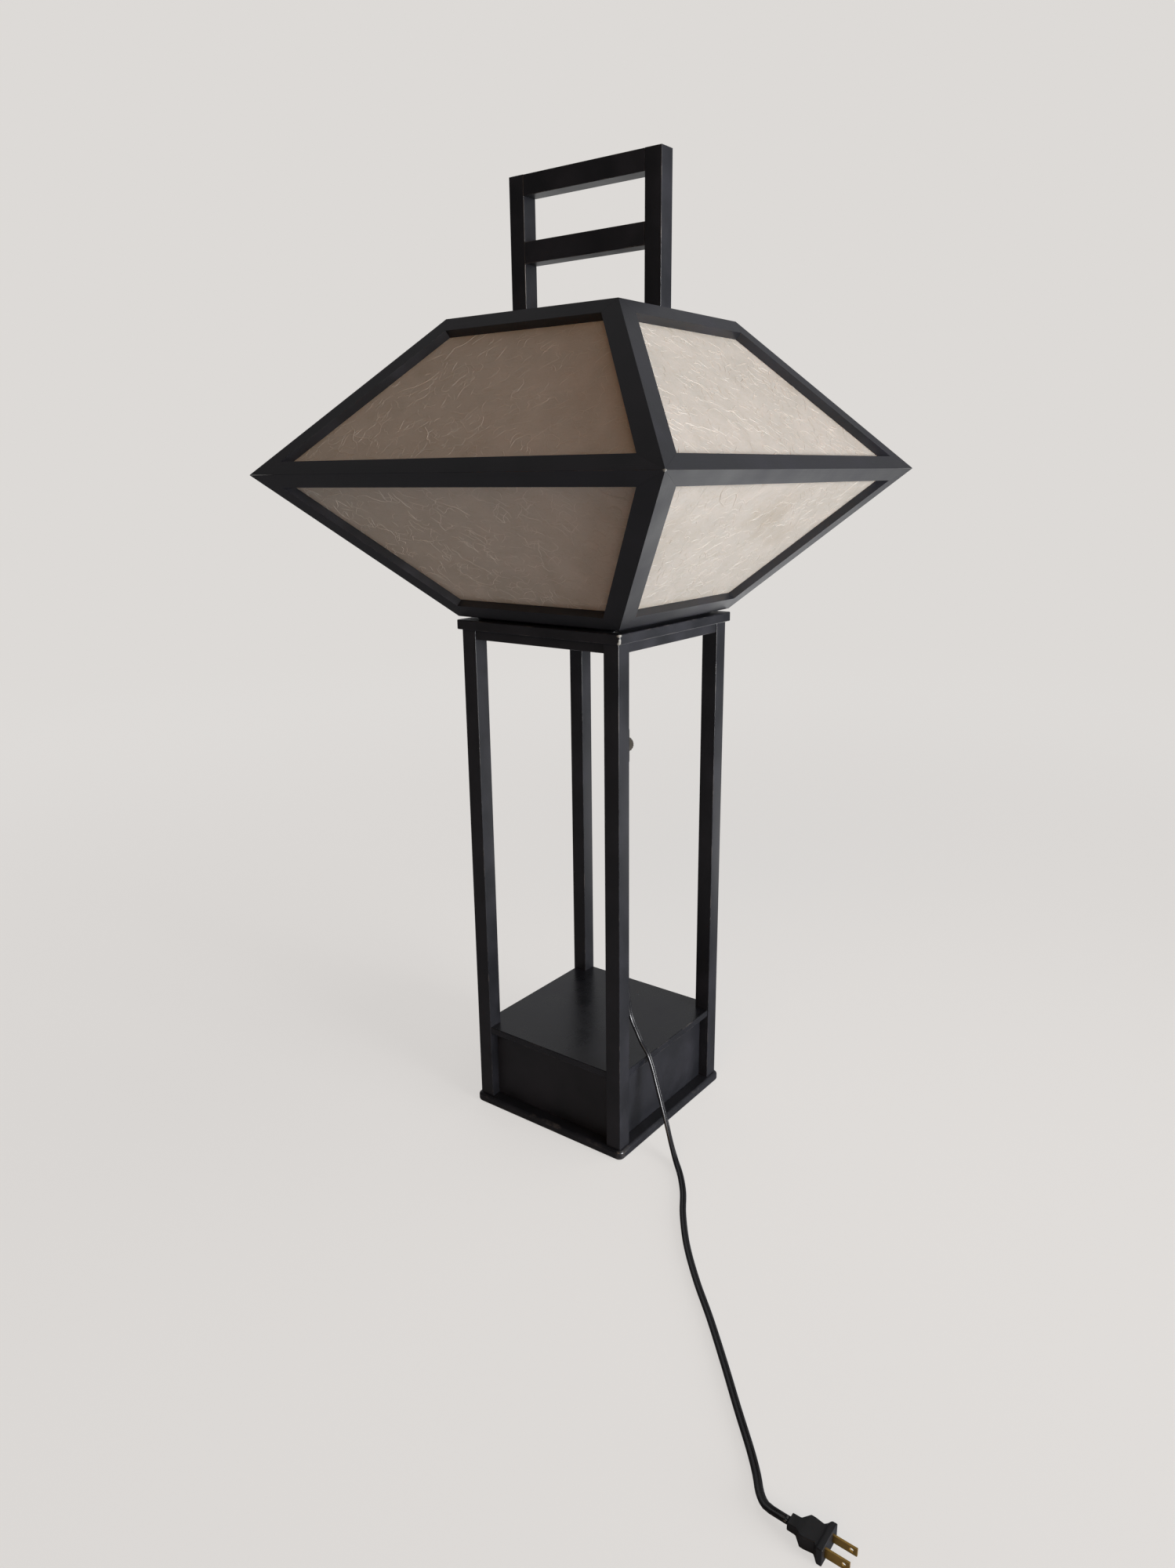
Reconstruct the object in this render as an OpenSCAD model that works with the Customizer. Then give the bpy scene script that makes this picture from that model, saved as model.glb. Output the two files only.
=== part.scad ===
// Lantern floor lamp: a square open stand of black lacquered wood with a boxed
// foot, and a faceted shade of eight mitred frames filled with fibre paper.
// The shade stands loose on the top plate and lifts off by its ladder handle.
// Millimetres. The origin is the middle of the base plate's underside, +Z up.
// The corner between -Y and +X is the one that faces the viewer.

/* [Stand] */
// Width of the stand across the outer faces of two posts
stand_w = 200; // [160:1:280]
// Width of each square post
post_w = 18; // [15:0.5:26]
// Length of each post, from the base plate to the top plate
post_h = 547; // [380:1:760]
// Thickness of the base plate
base_t = 11; // [8:0.5:20]
// How far the base plate stands out past the posts
base_over = 4; // [1:0.5:12]
// Radius of the base plate's corners, seen from above
base_corner_r = 7; // [5:0.5:12]
// Radius that rounds the edges of the base plate
base_edge_r = 3.5; // [1:0.5:4]
// Thickness of the top plate
top_t = 10; // [6:0.5:16]
// How far the top plate stands out past the posts
top_over = 4; // [1:0.5:12]
// Height of the rails under the top plate
rail_h = 10; // [8:0.5:30]
// Thickness of the rails under the top plate
rail_t = 12; // [9:0.5:13]
// How far the rails lie back from the outer faces of the posts
rail_back = 1; // [0:0.5:3]
// Length of the tenons that join rails to posts and handle
tenon_l = 5; // [3:0.5:6]
// Thickness of those tenons
tenon_t = 6; // [4:0.5:8]

/* [Foot box] */
// Height of the four panels of the foot box
box_h = 81; // [40:1:160]
// Thickness of the foot box panels
box_t = 6; // [4:0.5:8]
// How far the panels lie back from the outer faces of the posts
box_back = 11; // [4:0.5:16]
// Thickness of the shelf board on the foot box
shelf_t = 8; // [5:0.5:16]
// How far the shelf's edge lies back from the outer faces of the posts
shelf_back = 1; // [0:0.5:3]

/* [Shade] */
// Width of the shade at its widest, across the sharp middle edges
shade_w = 484; // [380:2:640]
// How far the shade's top and bottom edges lie back from the top plate's edge
shade_back = 2; // [0:0.5:6]
// Height of the shade from its bottom edge to its top edge
shade_h = 286; // [200:2:400]
// Width of the frame members at the middle and at both ends of the shade
frame_w = 17; // [14:0.5:24]
// Width of the sloping frame members beside the hips
stile_w = 17.7; // [14:0.1:24]
// Thickness of the frame members
frame_t = 8.5; // [6:0.5:10]
// Thickness of the stiffened paper panels
paper_t = 1.2; // [0.8:0.1:2]
// How far the paper is glued onto the back of the frames
paper_lap = 6; // [3:0.5:6.5]
// Height of the shadow gap between the top plate and the shade
shadow_gap = 3.5; // [2:0.5:8]
// Height of the bevelled cleats that line both openings of the shade
cleat_h = 13; // [8:0.5:14]
// Width of the bottom cleats where they stand on the top plate
foot_cleat_w = 16.5; // [12:0.5:20]
// Width of the top cleats along their top face
top_cleat_w = 15; // [12:0.5:22]
// How far the shade's bottom edge stands out past the cleats it stands on
gap_inset = 14; // [12.5:0.5:20]

/* [Handle] */
// Width of the handle's uprights
upright_w = 18.5; // [14:0.5:26]
// Thickness of the handle, front to back
handle_t = 18.5; // [14:0.5:26]
// Height of the handle above the shade's top edge
handle_h = 136.5; // [100:0.5:220]
// Height of the handle's top rail
grip_h = 19; // [14:0.5:30]
// Height of the handle's middle rail
mid_h = 20; // [14:0.5:30]
// Height of the middle rail's underside above the shade's top edge
mid_up = 56.5; // [20:0.5:70]
// How far the handle stands in front of the lamp's axis
handle_fwd = 8; // [0:0.5:20]

/* [Lampholder and bulb] */
// Gap all round the square board that carries the lampholder and centres the shade
board_gap = 1.5; // [0.5:0.5:3]
// Thickness of that board
board_t = 16; // [14:0.5:17]
// Outer radius of the threaded tube
tube_r = 5; // [4.5:0.1:6]
// Bore radius of the threaded tube
tube_bore_r = 3.7; // [3.5:0.1:4]
// Outer radius of the lampholder's shell
holder_r = 16.5; // [16:0.5:20]
// Radius over the thread of the bulb's cap
cap_r = 13.1; // [13:0.1:13.3]
// Widest radius of the bulb
bulb_r = 30; // [24:1:40]
// Height of the bulb, from its contact to its crown
bulb_h = 108; // [95:1:120]

/* [Cord and switch] */
// Width of the flat two-core cord
cord_w = 6.6; // [5.6:0.1:7]
// Thickness of the flat cord
cord_t = 3.3; // [2.8:0.1:3.4]
// How far the cord's outlet lies in from the outer faces of the +X posts
outlet_back = 39.5; // [38:0.5:48]
// How far the cord's outlet lies in from the outer faces of the -Y posts
outlet_side = 53.6; // [45:0.1:60]
// Radius of the outlet bush in the top plate
bush_r = 6; // [5.5:0.5:8]
// Length of the bush's tapered nose under the top plate
bush_nose = 20; // [10:1:30]
// How far the switch's middle hangs below the top plate
switch_down = 112.5; // [80:0.5:200]
// Length of the switch with its two cord collars
switch_l = 55; // [46:1:70]
// Width of the switch
switch_w = 24; // [22:0.5:28]
// Thickness of the switch
switch_t = 16; // [14:0.5:20]
// Radius of the switch's thumbwheel
wheel_r = 8; // [7.5:0.1:9]
// How far the thumbwheel stands out of the switch
wheel_out = 4.4; // [2:0.1:5]
// Length of the plug's body
plug_l = 30; // [26:1:40]
// Width of the plug's body
plug_w = 25; // [24:0.5:32]
// Thickness of the plug's body
plug_t = 14; // [13:0.5:18]

/* [Hidden] */
$fn = 48;
sides = ["front_left", "front_right", "back_right", "back_left"];
corners = ["left", "front", "right", "back"];

// Clearances: glue_gap between pieces that are joined for good, play where one
// piece can turn or lift past another
glue_gap = 0.1;
bevel = 0.6; // eased edge of planed sticks
play = 0.3;
pin_play = 0.08;
far = 400; // reach of the cutting bodies

// Levels of the stand, from the floor up
half = stand_w / 2;
shelf_z = base_t + box_h;
shelf_top = shelf_z + shelf_t;
plate_z = base_t + post_h;
plate_top = plate_z + top_t;

// The shade: its two halves are alike, mirrored at the middle edge
shade_z = plate_top + shadow_gap;
waist_z = shade_z + shade_h / 2;
shade_top = shade_z + shade_h;
waist = shade_w / 2;
mouth = half + top_over - shade_back;
run = waist - mouth; // how far a face leans in over half the height
slant = norm([run, shade_h / 2]); // length of a face, up its slope
slope = atan2(shade_h / 2, run); // angle of a face from the level
stile_run = stile_w * norm([slant, run]) / slant; // stile width along the level
mouth_in = mouth - frame_t / sin(slope); // inner edge of the frames at each mouth
foot_out = mouth - gap_inset;
foot_in = foot_out - foot_cleat_w;
board_w = 2 * (foot_in - board_gap);

// The handle, whose uprights stand just inside the shade's top edge
handle_x = mouth_in - glue_gap;
handle_top = shade_top + handle_h;
upright_z = shade_top - cleat_h;
grip_z = handle_top - grip_h;
mid_z = shade_top + mid_up;
rail_x = handle_x - upright_w; // inner faces of the uprights

// The lampholder, from the top plate up
board_top = plate_top + board_t;
groove_h = 7; // depth of the cord's groove under the board
well_h = 11; // depth of the well round the lower nut
well_r = 11;
nut_h = 4;
nut_r = 8.6; // across the nut's corners
tube_z = plate_top + well_h - nut_h - 0.5;
holder_z = board_top + nut_h; // underside of the lampholder's cap
holder_cap_h = 24;
holder_shell_z = holder_z + holder_cap_h - 6;
holder_shell_h = 46;
shell_wall = 0.8;
seat_z = holder_z + holder_cap_h + 2; // floor under the bulb's contact
bulb_z = seat_z + 3.2; // tip of the bulb's contact
bulb_cap_h = 27;
glass_t = 0.8;
bulb_mid = bulb_z + bulb_h - bulb_r; // middle of the round part

// The cord's outlet, switch and plug
outlet_x = half - outlet_back;
outlet_y = half - outlet_side;
outlet = [outlet_x, -outlet_y];
groove_turn = atan2(-outlet_y, outlet_x);
bush_z = plate_z - bush_nose;
switch_z = plate_z - switch_down;
switch_top = switch_z + switch_l / 2;
switch_foot = switch_z - switch_l / 2;
switch_turn = 37; // the switch's width points this far round from +X
collar = 4; // length of each cord collar on the switch
body_l = switch_l - 2 * collar;
wheel_t = 4.6;
wheel_x = switch_w / 2 + wheel_out - wheel_r;
pin_r = 1.5;
pin_l = 2.4;
blade_out = 17.5;
blade_in = 8;
blade_t = 1.5;
blade_gap = 12.7;
plug_x = half + 340;
plug_y = -outlet_y - 330;

// Routes of the cord, in points chosen by hand. Inside the lamp each point is a share
// of the way out to the outlet, and a height above the top plate
lead_path = [
    for (p = [
        [0, seat_z - 5 - plate_top], [0, board_t + 6], [0, 9], [0.02, 4.6], [0.09, 2.6],
        [0.33, 2.6], [0.6, 2.8], [0.84, 3.2], [0.93, 2.2], [0.985, -1.5], [1, -8],
        [1, -20], [1, bush_z - plate_top]
    ])
        [p[0] * outlet_x, -p[0] * outlet_y, plate_top + p[1]]
];
hang_path = [for (share = [0, 0.25, 0.7, 1]) [outlet_x, -outlet_y, bush_z + share * (switch_top - bush_z)]];

// From the switch to the shelf's edge: shares of the way out and of the height.
// Then from the edge to the floor and along it: distances from the stand and outlet
cord_path = concat(
    [
        for (p = [
            [0, 1], [0, 0.96], [0.025, 0.82], [0.09, 0.63], [0.18, 0.44], [0.28, 0.28], [0.34, 0.2],
            [0.44, 0.13], [0.65, 0.08], [0.82, 0.042], [1, 0.014]
        ])
            [outlet_x + p[0] * outlet_back, -outlet_y - 0.6 * p[0], shelf_top + p[1] * (switch_foot - shelf_top)]
    ],
    [for (p = [[6, 0.6, 0.91], [13, 1.6, 0.71], [21, 3.6, 0.5], [30, 7.6, 0.31], [41, 15, 0.14]])
        [half + p[0], -outlet_y - p[1], p[2] * shelf_top]],
    [
        for (p = [
            [54, 26, 4.5], [69, 41, 2], [86, 63, 1.8], [104, 92, 1.8], [130, 127, 1.8],
            [162, 162, 1.8], [196, 195, 1.8], [230, 230, 1.8], [262, 264, 1.8], [288, 291, 1.8],
            [302, 307, 1.8], [311, 319, 2.4], [320, 327, 4.4], [331, 330, 7], [340, 330, 7]
        ])
            [half + p[0], -outlet_y - p[1], p[2]]
    ]
);

black = [0.12, 0.12, 0.13];
paper = [0.82, 0.78, 0.7];
brass = [0.78, 0.62, 0.3];
steel = [0.7, 0.7, 0.72];
plastic = [0.08, 0.08, 0.09];

// ---- Shared shapes ----

// A planed stick that stands on the origin, with its long edges eased
module stick(width, depth, length) {
    x = width / 2;
    y = depth / 2;
    linear_extrude(length)
        polygon([
            [bevel - x, -y], [x - bevel, -y], [x, bevel - y], [x, y - bevel],
            [x - bevel, y], [bevel - x, y], [-x, y - bevel], [-x, bevel - y]
        ]);
}

// Half of a board's section, from its middle out to its rounded edge
module board_edge(reach, thick, edge_r) {
    translate([0, edge_r]) square([reach, thick - 2 * edge_r]);
    square([reach - edge_r, thick]);
    for (y = [edge_r, thick - edge_r])
        translate([reach - edge_r, y]) circle(edge_r);
}

// A square board with round corners and rounded edges
module square_board(side, thick, corner_r, edge_r) {
    flat = side - 2 * corner_r;
    translate([-flat / 2, -flat / 2, 0]) cube([flat, flat, thick]);
    for (turn = [0 : 90 : 270]) rotate(turn) {
        translate([flat / 2, flat / 2, 0])
            rotate_extrude()
                intersection() {
                    board_edge(corner_r, thick, edge_r);
                    square([far, thick]);
                }
        translate([0, -flat / 2, 0])
            rotate([90, 0, -90])
                linear_extrude(flat, center = true)
                    intersection() {
                        board_edge(corner_r, thick, edge_r);
                        square([far, thick]);
                    }
    }
}

// A countersunk wood screw whose head is level with the origin, point down.
// grow makes the hole for it
module wood_screw(length, grow = 0) {
    head_r = 4;
    shank_r = 1.9;
    head_h = 2.4;
    difference() {
        rotate_extrude()
            polygon([
                [0, grow], [head_r + grow, grow], [head_r + grow, 0],
                [shank_r + grow, -head_h], [shank_r + grow, 4 - length], [0, -length - grow]
            ]);
        if (grow == 0)
            for (turn = [0, 90]) rotate(turn)
                translate([-2.2, -0.4, -1.2]) cube([4.4, 0.8, 2]);
    }
}

// The space that belongs to one side of the lamp, up to the mitres at its corners
module side_space(low, high) {
    translate([0, -glue_gap / 2, low])
        linear_extrude(high - low)
            polygon([[0, 0], [far, -far], [-far, -far]]);
}

// A bar along one side, cut at the corner mitres. The section's points are
// distances out from the lamp's axis and heights
module mitred_bar(section) {
    intersection() {
        rotate([90, 0, -90])
            linear_extrude(2 * far, center = true) polygon(section);
        side_space(0, 2000);
    }
}

// A cord through points, as one body with a flat eight-sided section.
// Its wide side turns from the angle turn_a to turn_b over the part share
function cord_points(path, step) = [
    for (i = [0 : len(path) - 2])
        let (
            a = path[max(i - 1, 0)],
            b = path[i],
            c = path[i + 1],
            d = path[min(i + 2, len(path) - 1)],
            n = ceil(norm(c - b) / step)
        )
        for (k = [0 : n - 1])
            let (t = k / n)
            0.5 * (2 * b + (c - a) * t + (2 * a - 5 * b + 4 * c - d) * t * t
                + (3 * b - a - 3 * c + d) * t * t * t),
    path[len(path) - 1]
];

function unit(v) = v / norm(v);

function cord_ring(centre, way, turn) =
    let (
        drop = -way[2],
        ref = [drop * cos(turn), -drop * sin(turn), 1 - abs(drop)],
        wide = unit(cross(ref, way)),
        high = unit(cross(way, wide)),
        a = tan(22.5)
    )
    [for (p = [[1, a], [a, 1], [-a, 1], [-1, a], [-1, -a], [-a, -1], [a, -1], [1, -a]])
        centre + wide * p[0] * cord_w / 2 + high * p[1] * cord_t / 2];

module cord(path, turn_a, turn_b, share = 1, step = 18) {
    pts = cord_points(path, step);
    last = len(pts) - 1;
    rings = [
        for (i = [0 : last])
            let (
                way = unit(pts[min(i + 1, last)] - pts[max(i - 1, 0)]),
                done = min(1, i / last / share)
            )
            each cord_ring(pts[i], way, turn_a + (turn_b - turn_a) * done)
    ];
    walls = [
        for (i = [0 : last - 1], k = [0 : 7])
            let (a = 8 * i + k, b = 8 * i + (k + 1) % 8)
            each [[a, a + 8, b + 8], [a, b + 8, b]]
    ];
    polyhedron(rings, concat(
        [[for (k = [0 : 7]) k]],
        walls,
        [[for (k = [7 : -1 : 0]) 8 * last + k]]
    ));
}

// ---- Stand ----

module base_plate() {
    color(black) difference() {
        square_board(stand_w + 2 * base_over, base_t, base_corner_r, base_edge_r);
        post_screw_holes();
    }
}

// Places of the posts' middles
module at_posts() {
    at = half - post_w / 2;
    for (x = [-at, at], y = [-at, at]) translate([x, y, 0]) children();
}

// Screws come up through the base plate and down through the top plate
post_screw_l = 34;
module post_screw_set(grow) {
    at_posts() {
        translate([0, 0, 0.4]) mirror([0, 0, 1]) wood_screw(post_screw_l, grow);
        translate([0, 0, plate_top - 0.4]) wood_screw(post_screw_l, grow);
    }
}

module post_screws() {
    color(steel) post_screw_set(0);
}

module post_screw_holes() {
    post_screw_set(0.1);
    at_posts() {
        translate([0, 0, -1]) cylinder(r = 4.1, h = 1.4);
        translate([0, 0, plate_top - 0.4]) cylinder(r = 4.1, h = 2);
    }
}

module post(i) {
    at = half - post_w / 2;
    color(black) difference() {
        rotate(90 * i) translate([-at, -at, base_t]) stick(post_w, post_w, post_h);
        post_screw_holes();
        for (k = [0 : 3]) rail_blank(k, glue_gap);
    }
}

// A rail under the top plate with its tenons. grow leaves room for glue
module rail_blank(i, grow) {
    between = stand_w - 2 * post_w;
    y = rail_back + rail_t / 2 - half;
    rotate(90 * i) {
        translate([-between / 2 + glue_gap, y - rail_t / 2, plate_z - rail_h])
            cube([between - 2 * glue_gap, rail_t, rail_h]);
        translate([-between / 2 - tenon_l - grow, y - tenon_t / 2 - grow, plate_z - rail_h + 2 - grow])
            cube([between + 2 * tenon_l + 2 * grow, tenon_t + 2 * grow, rail_h - 4 + 2 * grow]);
    }
}

module top_rail(i) {
    color(black) rail_blank(i, 0);
}

module foot_panel(i) {
    between = stand_w - 2 * post_w - 2 * glue_gap;
    color(black) rotate(90 * i)
        translate([-between / 2, box_back - half, base_t]) cube([between, box_t, box_h]);
}

module shelf() {
    side = stand_w - 2 * shelf_back;
    notch = post_w + glue_gap;
    color(black) difference() {
        translate([0, 0, shelf_z]) square_board(side, shelf_t, 3, 1);
        for (turn = [0 : 90 : 270]) rotate(turn)
            translate([half - notch, half - notch, shelf_z - 1]) cube([far, far, shelf_t + 2]);
    }
}

module top_plate() {
    color(black) difference() {
        translate([0, 0, plate_z]) square_board(stand_w + 2 * top_over, top_t, 2, 1);
        post_screw_holes();
        board_screw_set(0.1);
        translate([outlet_x, -outlet_y, plate_z - 1]) cylinder(r = bush_r + glue_gap, h = top_t + 2);
    }
}

// ---- Lampholder ----

module locating_board() {
    color(black) difference() {
        translate([0, 0, plate_top]) square_board(board_w, board_t, 2, 1);
        translate([0, 0, plate_top - 1]) cylinder(r = tube_r + glue_gap, h = board_t + 2);
        translate([0, 0, plate_top - 1]) cylinder(r = well_r, h = well_h + 1);
        rotate(groove_turn) translate([0, -cord_w / 2 - 1, plate_top - 1])
            cube([norm(outlet), cord_w + 2, groove_h + 1]);
        translate([outlet_x, -outlet_y, plate_top - 1]) cylinder(r = bush_r + 1, h = groove_h + 1);
        board_screw_set(0.1);
    }
}

board_screw_l = 24;
module board_screw_set(grow) {
    for (turn = [0 : 90 : 270]) rotate(turn)
        translate([board_w / 2 - 14, 0, board_top - 0.2]) wood_screw(board_screw_l, grow);
}

module board_screws() {
    color(steel) board_screw_set(0);
}

module threaded_tube() {
    color(brass) translate([0, 0, tube_z]) difference() {
        cylinder(r = tube_r, h = holder_z + 8 - tube_z);
        translate([0, 0, -1]) cylinder(r = tube_bore_r, h = far);
    }
}

module lock_nuts() {
    color(steel) for (z = [plate_top + well_h - nut_h, board_top])
        translate([0, 0, z]) difference() {
            cylinder(r = nut_r, h = nut_h, $fn = 6);
            translate([0, 0, -1]) cylinder(r = tube_r + pin_play, h = nut_h + 2);
        }
}

// The cap is a spun cup with a neck that screws onto the tube
module holder_cap() {
    neck = 8;
    color(brass) translate([0, 0, holder_z]) difference() {
        rotate_extrude() polygon([
            [0, 0], [neck, 0], [neck, 7], [holder_r - 2, 14], [holder_r + 0.9, 17],
            [holder_r + 0.9, holder_cap_h], [0, holder_cap_h]
        ]);
        translate([0, 0, -1]) cylinder(r = tube_r + pin_play, h = far);
        rotate_extrude() polygon([
            [0, 8.4], [neck - 1, 8.4], [holder_r - 2, 15], [holder_r + glue_gap, 18],
            [holder_r + glue_gap, far], [0, far]
        ]);
    }
}

module holder_shell() {
    r = holder_r;
    color(brass) translate([0, 0, holder_shell_z]) difference() {
        rotate_extrude() polygon([
            [0, 0], [r, 0], [r, holder_shell_h - 8], [r + 0.8, holder_shell_h - 7],
            [r + 0.8, holder_shell_h - 5], [r, holder_shell_h - 4], [r, holder_shell_h], [0, holder_shell_h]
        ]);
        translate([0, 0, -1]) cylinder(r = r - shell_wall, h = far);
    }
}

module holder_insulator() {
    thick = 8;
    color(plastic) difference() {
        translate([0, 0, seat_z - thick]) cylinder(r = holder_r - shell_wall - glue_gap, h = thick);
        translate([0, 0, seat_z - thick - 1]) cylinder(r = cord_w / 2 + 1.2, h = 5);
    }
}

module holder_thread() {
    inside = cap_r + play;
    color(brass) translate([0, 0, seat_z]) difference() {
        cylinder(r = inside + 0.5, h = 28);
        translate([0, 0, 0.5]) cylinder(r = inside, h = 28);
        translate([0, 0, -1]) cylinder(r = 7, h = 3);
    }
}

module holder_contact() {
    color(brass) translate([0, 0, seat_z]) {
        cylinder(r = 5, h = 0.8);
        cylinder(r = 2, h = 3);
    }
}

// ---- Bulb ----

// Half section of the glass, from its crown down to the neck, drawn in by inset
function glass_line(inset) =
    let (
        r = bulb_r - inset,
        end = 122,
        a = [r * sin(end), bulb_mid + r * cos(end)],
        way = [cos(end), -sin(end)],
        neck = cap_r - 0.3 - inset,
        reach = (a[0] - neck) / -way[0],
        bend = a + way * reach,
        start = a + way * reach * 0.55,
        stop = [neck, bend[1] - reach * 0.45]
    )
    concat(
        [for (t = [0 : end / 18 : end + 0.01]) [r * sin(t), bulb_mid + r * cos(t)]],
        [for (k = [0 : 6])
            let (t = k / 6)
            (1 - t) * (1 - t) * start + 2 * t * (1 - t) * bend + t * t * stop],
        [[neck, bulb_z + bulb_cap_h]]
    );

module bulb_glass() {
    outer = glass_line(0);
    inner = glass_line(glass_t);
    color([0.93, 0.93, 0.9]) rotate_extrude()
        polygon(concat(outer, [for (i = [len(inner) - 1 : -1 : 0]) inner[i]]));
}

// The cap has a rolled thread of round ridges, and a tip that meets the contact
module bulb_cap() {
    ridge = 1.8;
    root = cap_r - 0.7;
    pitch = 3.6;
    first = 6.5;
    color(steel) translate([0, 0, bulb_z]) {
        rotate_extrude() polygon([
            [0, 0], [3.5, 0], [4.5, 1], [root - 2.5, 3.2], [root, 5],
            [root, bulb_cap_h - glue_gap], [0, bulb_cap_h - glue_gap]
        ]);
        for (k = [0 : 4]) translate([0, 0, first + pitch * k])
            rotate_extrude() polygon([
                [0, 0], [root, 0], [cap_r, ridge * 0.35], [cap_r, ridge * 0.65], [root, ridge], [0, ridge]
            ]);
    }
}

// ---- Shade ----

// Half width of a shade face at a distance up its slope from the middle edge
function face_half(up) = waist - run * up / slant;

// Place a flat drawing on the upper face of the -Y side, sunk below its surface
module on_face(depth) {
    translate([0, -waist, waist_z]) rotate([slope, 0, 0]) translate([0, 0, -depth]) children();
}

// Four members mitred together: middle rail, end rail and two stiles
module frame_members() {
    low = frame_w;
    high = slant - frame_w;
    low_in = face_half(low) - stile_run;
    high_in = face_half(high) - stile_run;
    beyond = slant + frame_t / tan(slope);
    end_half = face_half(beyond);
    g = glue_gap;
    linear_extrude(frame_t) {
        polygon([[g - waist, 0], [waist - g, 0], [low_in - g, low], [g - low_in, low]]);
        polygon([
            [g - high_in, high], [high_in - g, high], [mouth - g, slant],
            [end_half - g, beyond], [g - end_half, beyond], [g - mouth, slant]
        ]);
        for (flip = [-1, 1])
            polygon([
                [flip * waist, 0], [flip * mouth, slant], [flip * high_in, high], [flip * low_in, low]
            ]);
    }
}

module upper_half_frame() {
    intersection() {
        on_face(frame_t) frame_members();
        side_space(waist_z + glue_gap / 2, shade_top);
    }
}

// The paper is glued on the back of the frame, over all four members
module upper_half_paper() {
    low = frame_w - paper_lap;
    high = slant - frame_w + paper_lap;
    back = stile_run * (stile_w - paper_lap) / stile_w;
    low_half = face_half(low) - back;
    high_half = face_half(high) - back;
    on_face(frame_t + glue_gap + paper_t) linear_extrude(paper_t)
        polygon([[-low_half, low], [low_half, low], [high_half, high], [-high_half, high]]);
}

// Turn the upper half of the shade over to make the lower half
module turned_over() {
    translate([0, 0, 2 * waist_z]) mirror([0, 0, 1]) children();
}

module upper_frame(i) {
    color(black) rotate(90 * i) upper_half_frame();
}

module lower_frame(i) {
    color(black) rotate(90 * i) turned_over() upper_half_frame();
}

module upper_paper(i) {
    color(paper) rotate(90 * i) upper_half_paper();
}

module lower_paper(i) {
    color(paper) rotate(90 * i) turned_over() upper_half_paper();
}

// The bottom cleats carry the shade on the top plate, 'gap_inset' back from its edge
module bottom_cleats() {
    bevel_in = mouth_in - glue_gap;
    top_out = bevel_in + cleat_h / tan(slope);
    foot_z = plate_top + play / 2;
    color(black) for (i = [0 : 3]) rotate(90 * i)
        mitred_bar([
            [foot_in, foot_z], [foot_out, foot_z], [foot_out, shade_z], [bevel_in, shade_z],
            [top_out, shade_z + cleat_h], [foot_in, shade_z + cleat_h]
        ]);
}

// The top cleats are housed for the feet of the handle's uprights
module top_cleats() {
    bevel_in = mouth_in - glue_gap;
    low_out = bevel_in + cleat_h / tan(slope);
    color(black) difference() {
        for (i = [0 : 3]) rotate(90 * i)
            mitred_bar([
                [bevel_in - top_cleat_w, shade_top - cleat_h], [low_out, shade_top - cleat_h],
                [bevel_in, shade_top], [bevel_in - top_cleat_w, shade_top]
            ]);
        for (s = [-1, 1])
            translate([
                s * (handle_x - upright_w / 2) - upright_w / 2 - glue_gap,
                -handle_fwd - handle_t / 2 - glue_gap,
                upright_z - 1
            ])
                cube([upright_w + 2 * glue_gap, handle_t + 2 * glue_gap, cleat_h + 2]);
        handle_screw_set(0.1);
    }
}

// ---- Handle ----

// A handle rail with a tenon at each end. grow leaves room for glue
module handle_rail(z, height, grow) {
    translate([-rail_x + glue_gap, -handle_fwd - handle_t / 2, z])
        cube([2 * (rail_x - glue_gap), handle_t, height]);
    translate([-rail_x - tenon_l - grow, -handle_fwd - tenon_t / 2 - grow, z + 4 - grow])
        cube([2 * (rail_x + tenon_l + grow), tenon_t + 2 * grow, height - 8 + 2 * grow]);
}

module handle_upright(s) {
    color(black) difference() {
        translate([s * (handle_x - upright_w / 2), -handle_fwd, upright_z])
            stick(upright_w, handle_t, handle_top - upright_z);
        handle_rail(grip_z, grip_h, glue_gap);
        handle_rail(mid_z, mid_h, glue_gap);
        handle_screw_set(0.1);
    }
}

module handle_grip() {
    color(black) handle_rail(grip_z, grip_h, 0);
}

module handle_mid_rail() {
    color(black) handle_rail(mid_z, mid_h, 0);
}

// One screw through the foot of each upright into the cleat behind it
module handle_screw_set(grow) {
    screw_l = upright_w + 4;
    for (s = [-1, 1])
        translate([s * (rail_x + 0.2), -handle_fwd, upright_z + 4.5])
            rotate([0, -90 * s, 0]) wood_screw(screw_l, grow);
}

module handle_screws() {
    color(steel) handle_screw_set(0);
}

// ---- Cord, switch and plug ----

module cord_bush() {
    flange = bush_r + 3;
    tip = cord_w / 2 + 1.6;
    color(plastic) translate([outlet_x, -outlet_y, 0]) difference() {
        rotate_extrude() polygon([
            [0, bush_z], [tip, bush_z], [bush_r - 0.5, plate_z - 2.2], [flange, plate_z - 2],
            [flange, plate_z - glue_gap], [bush_r, plate_z - glue_gap], [bush_r, plate_z + 4], [0, plate_z + 4]
        ]);
        translate([0, 0, bush_z - 1]) cylinder(r = cord_w / 2 + 0.3, h = far);
    }
}

module inner_lead() {
    color(plastic) cord(lead_path, 37.5, 37.5);
}

module hanging_cord() {
    color(plastic) cord(hang_path, 37.5, 90 - switch_turn);
}

module floor_cord() {
    color(plastic) cord(cord_path, 90 - switch_turn, 0, 0.3);
}

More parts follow.
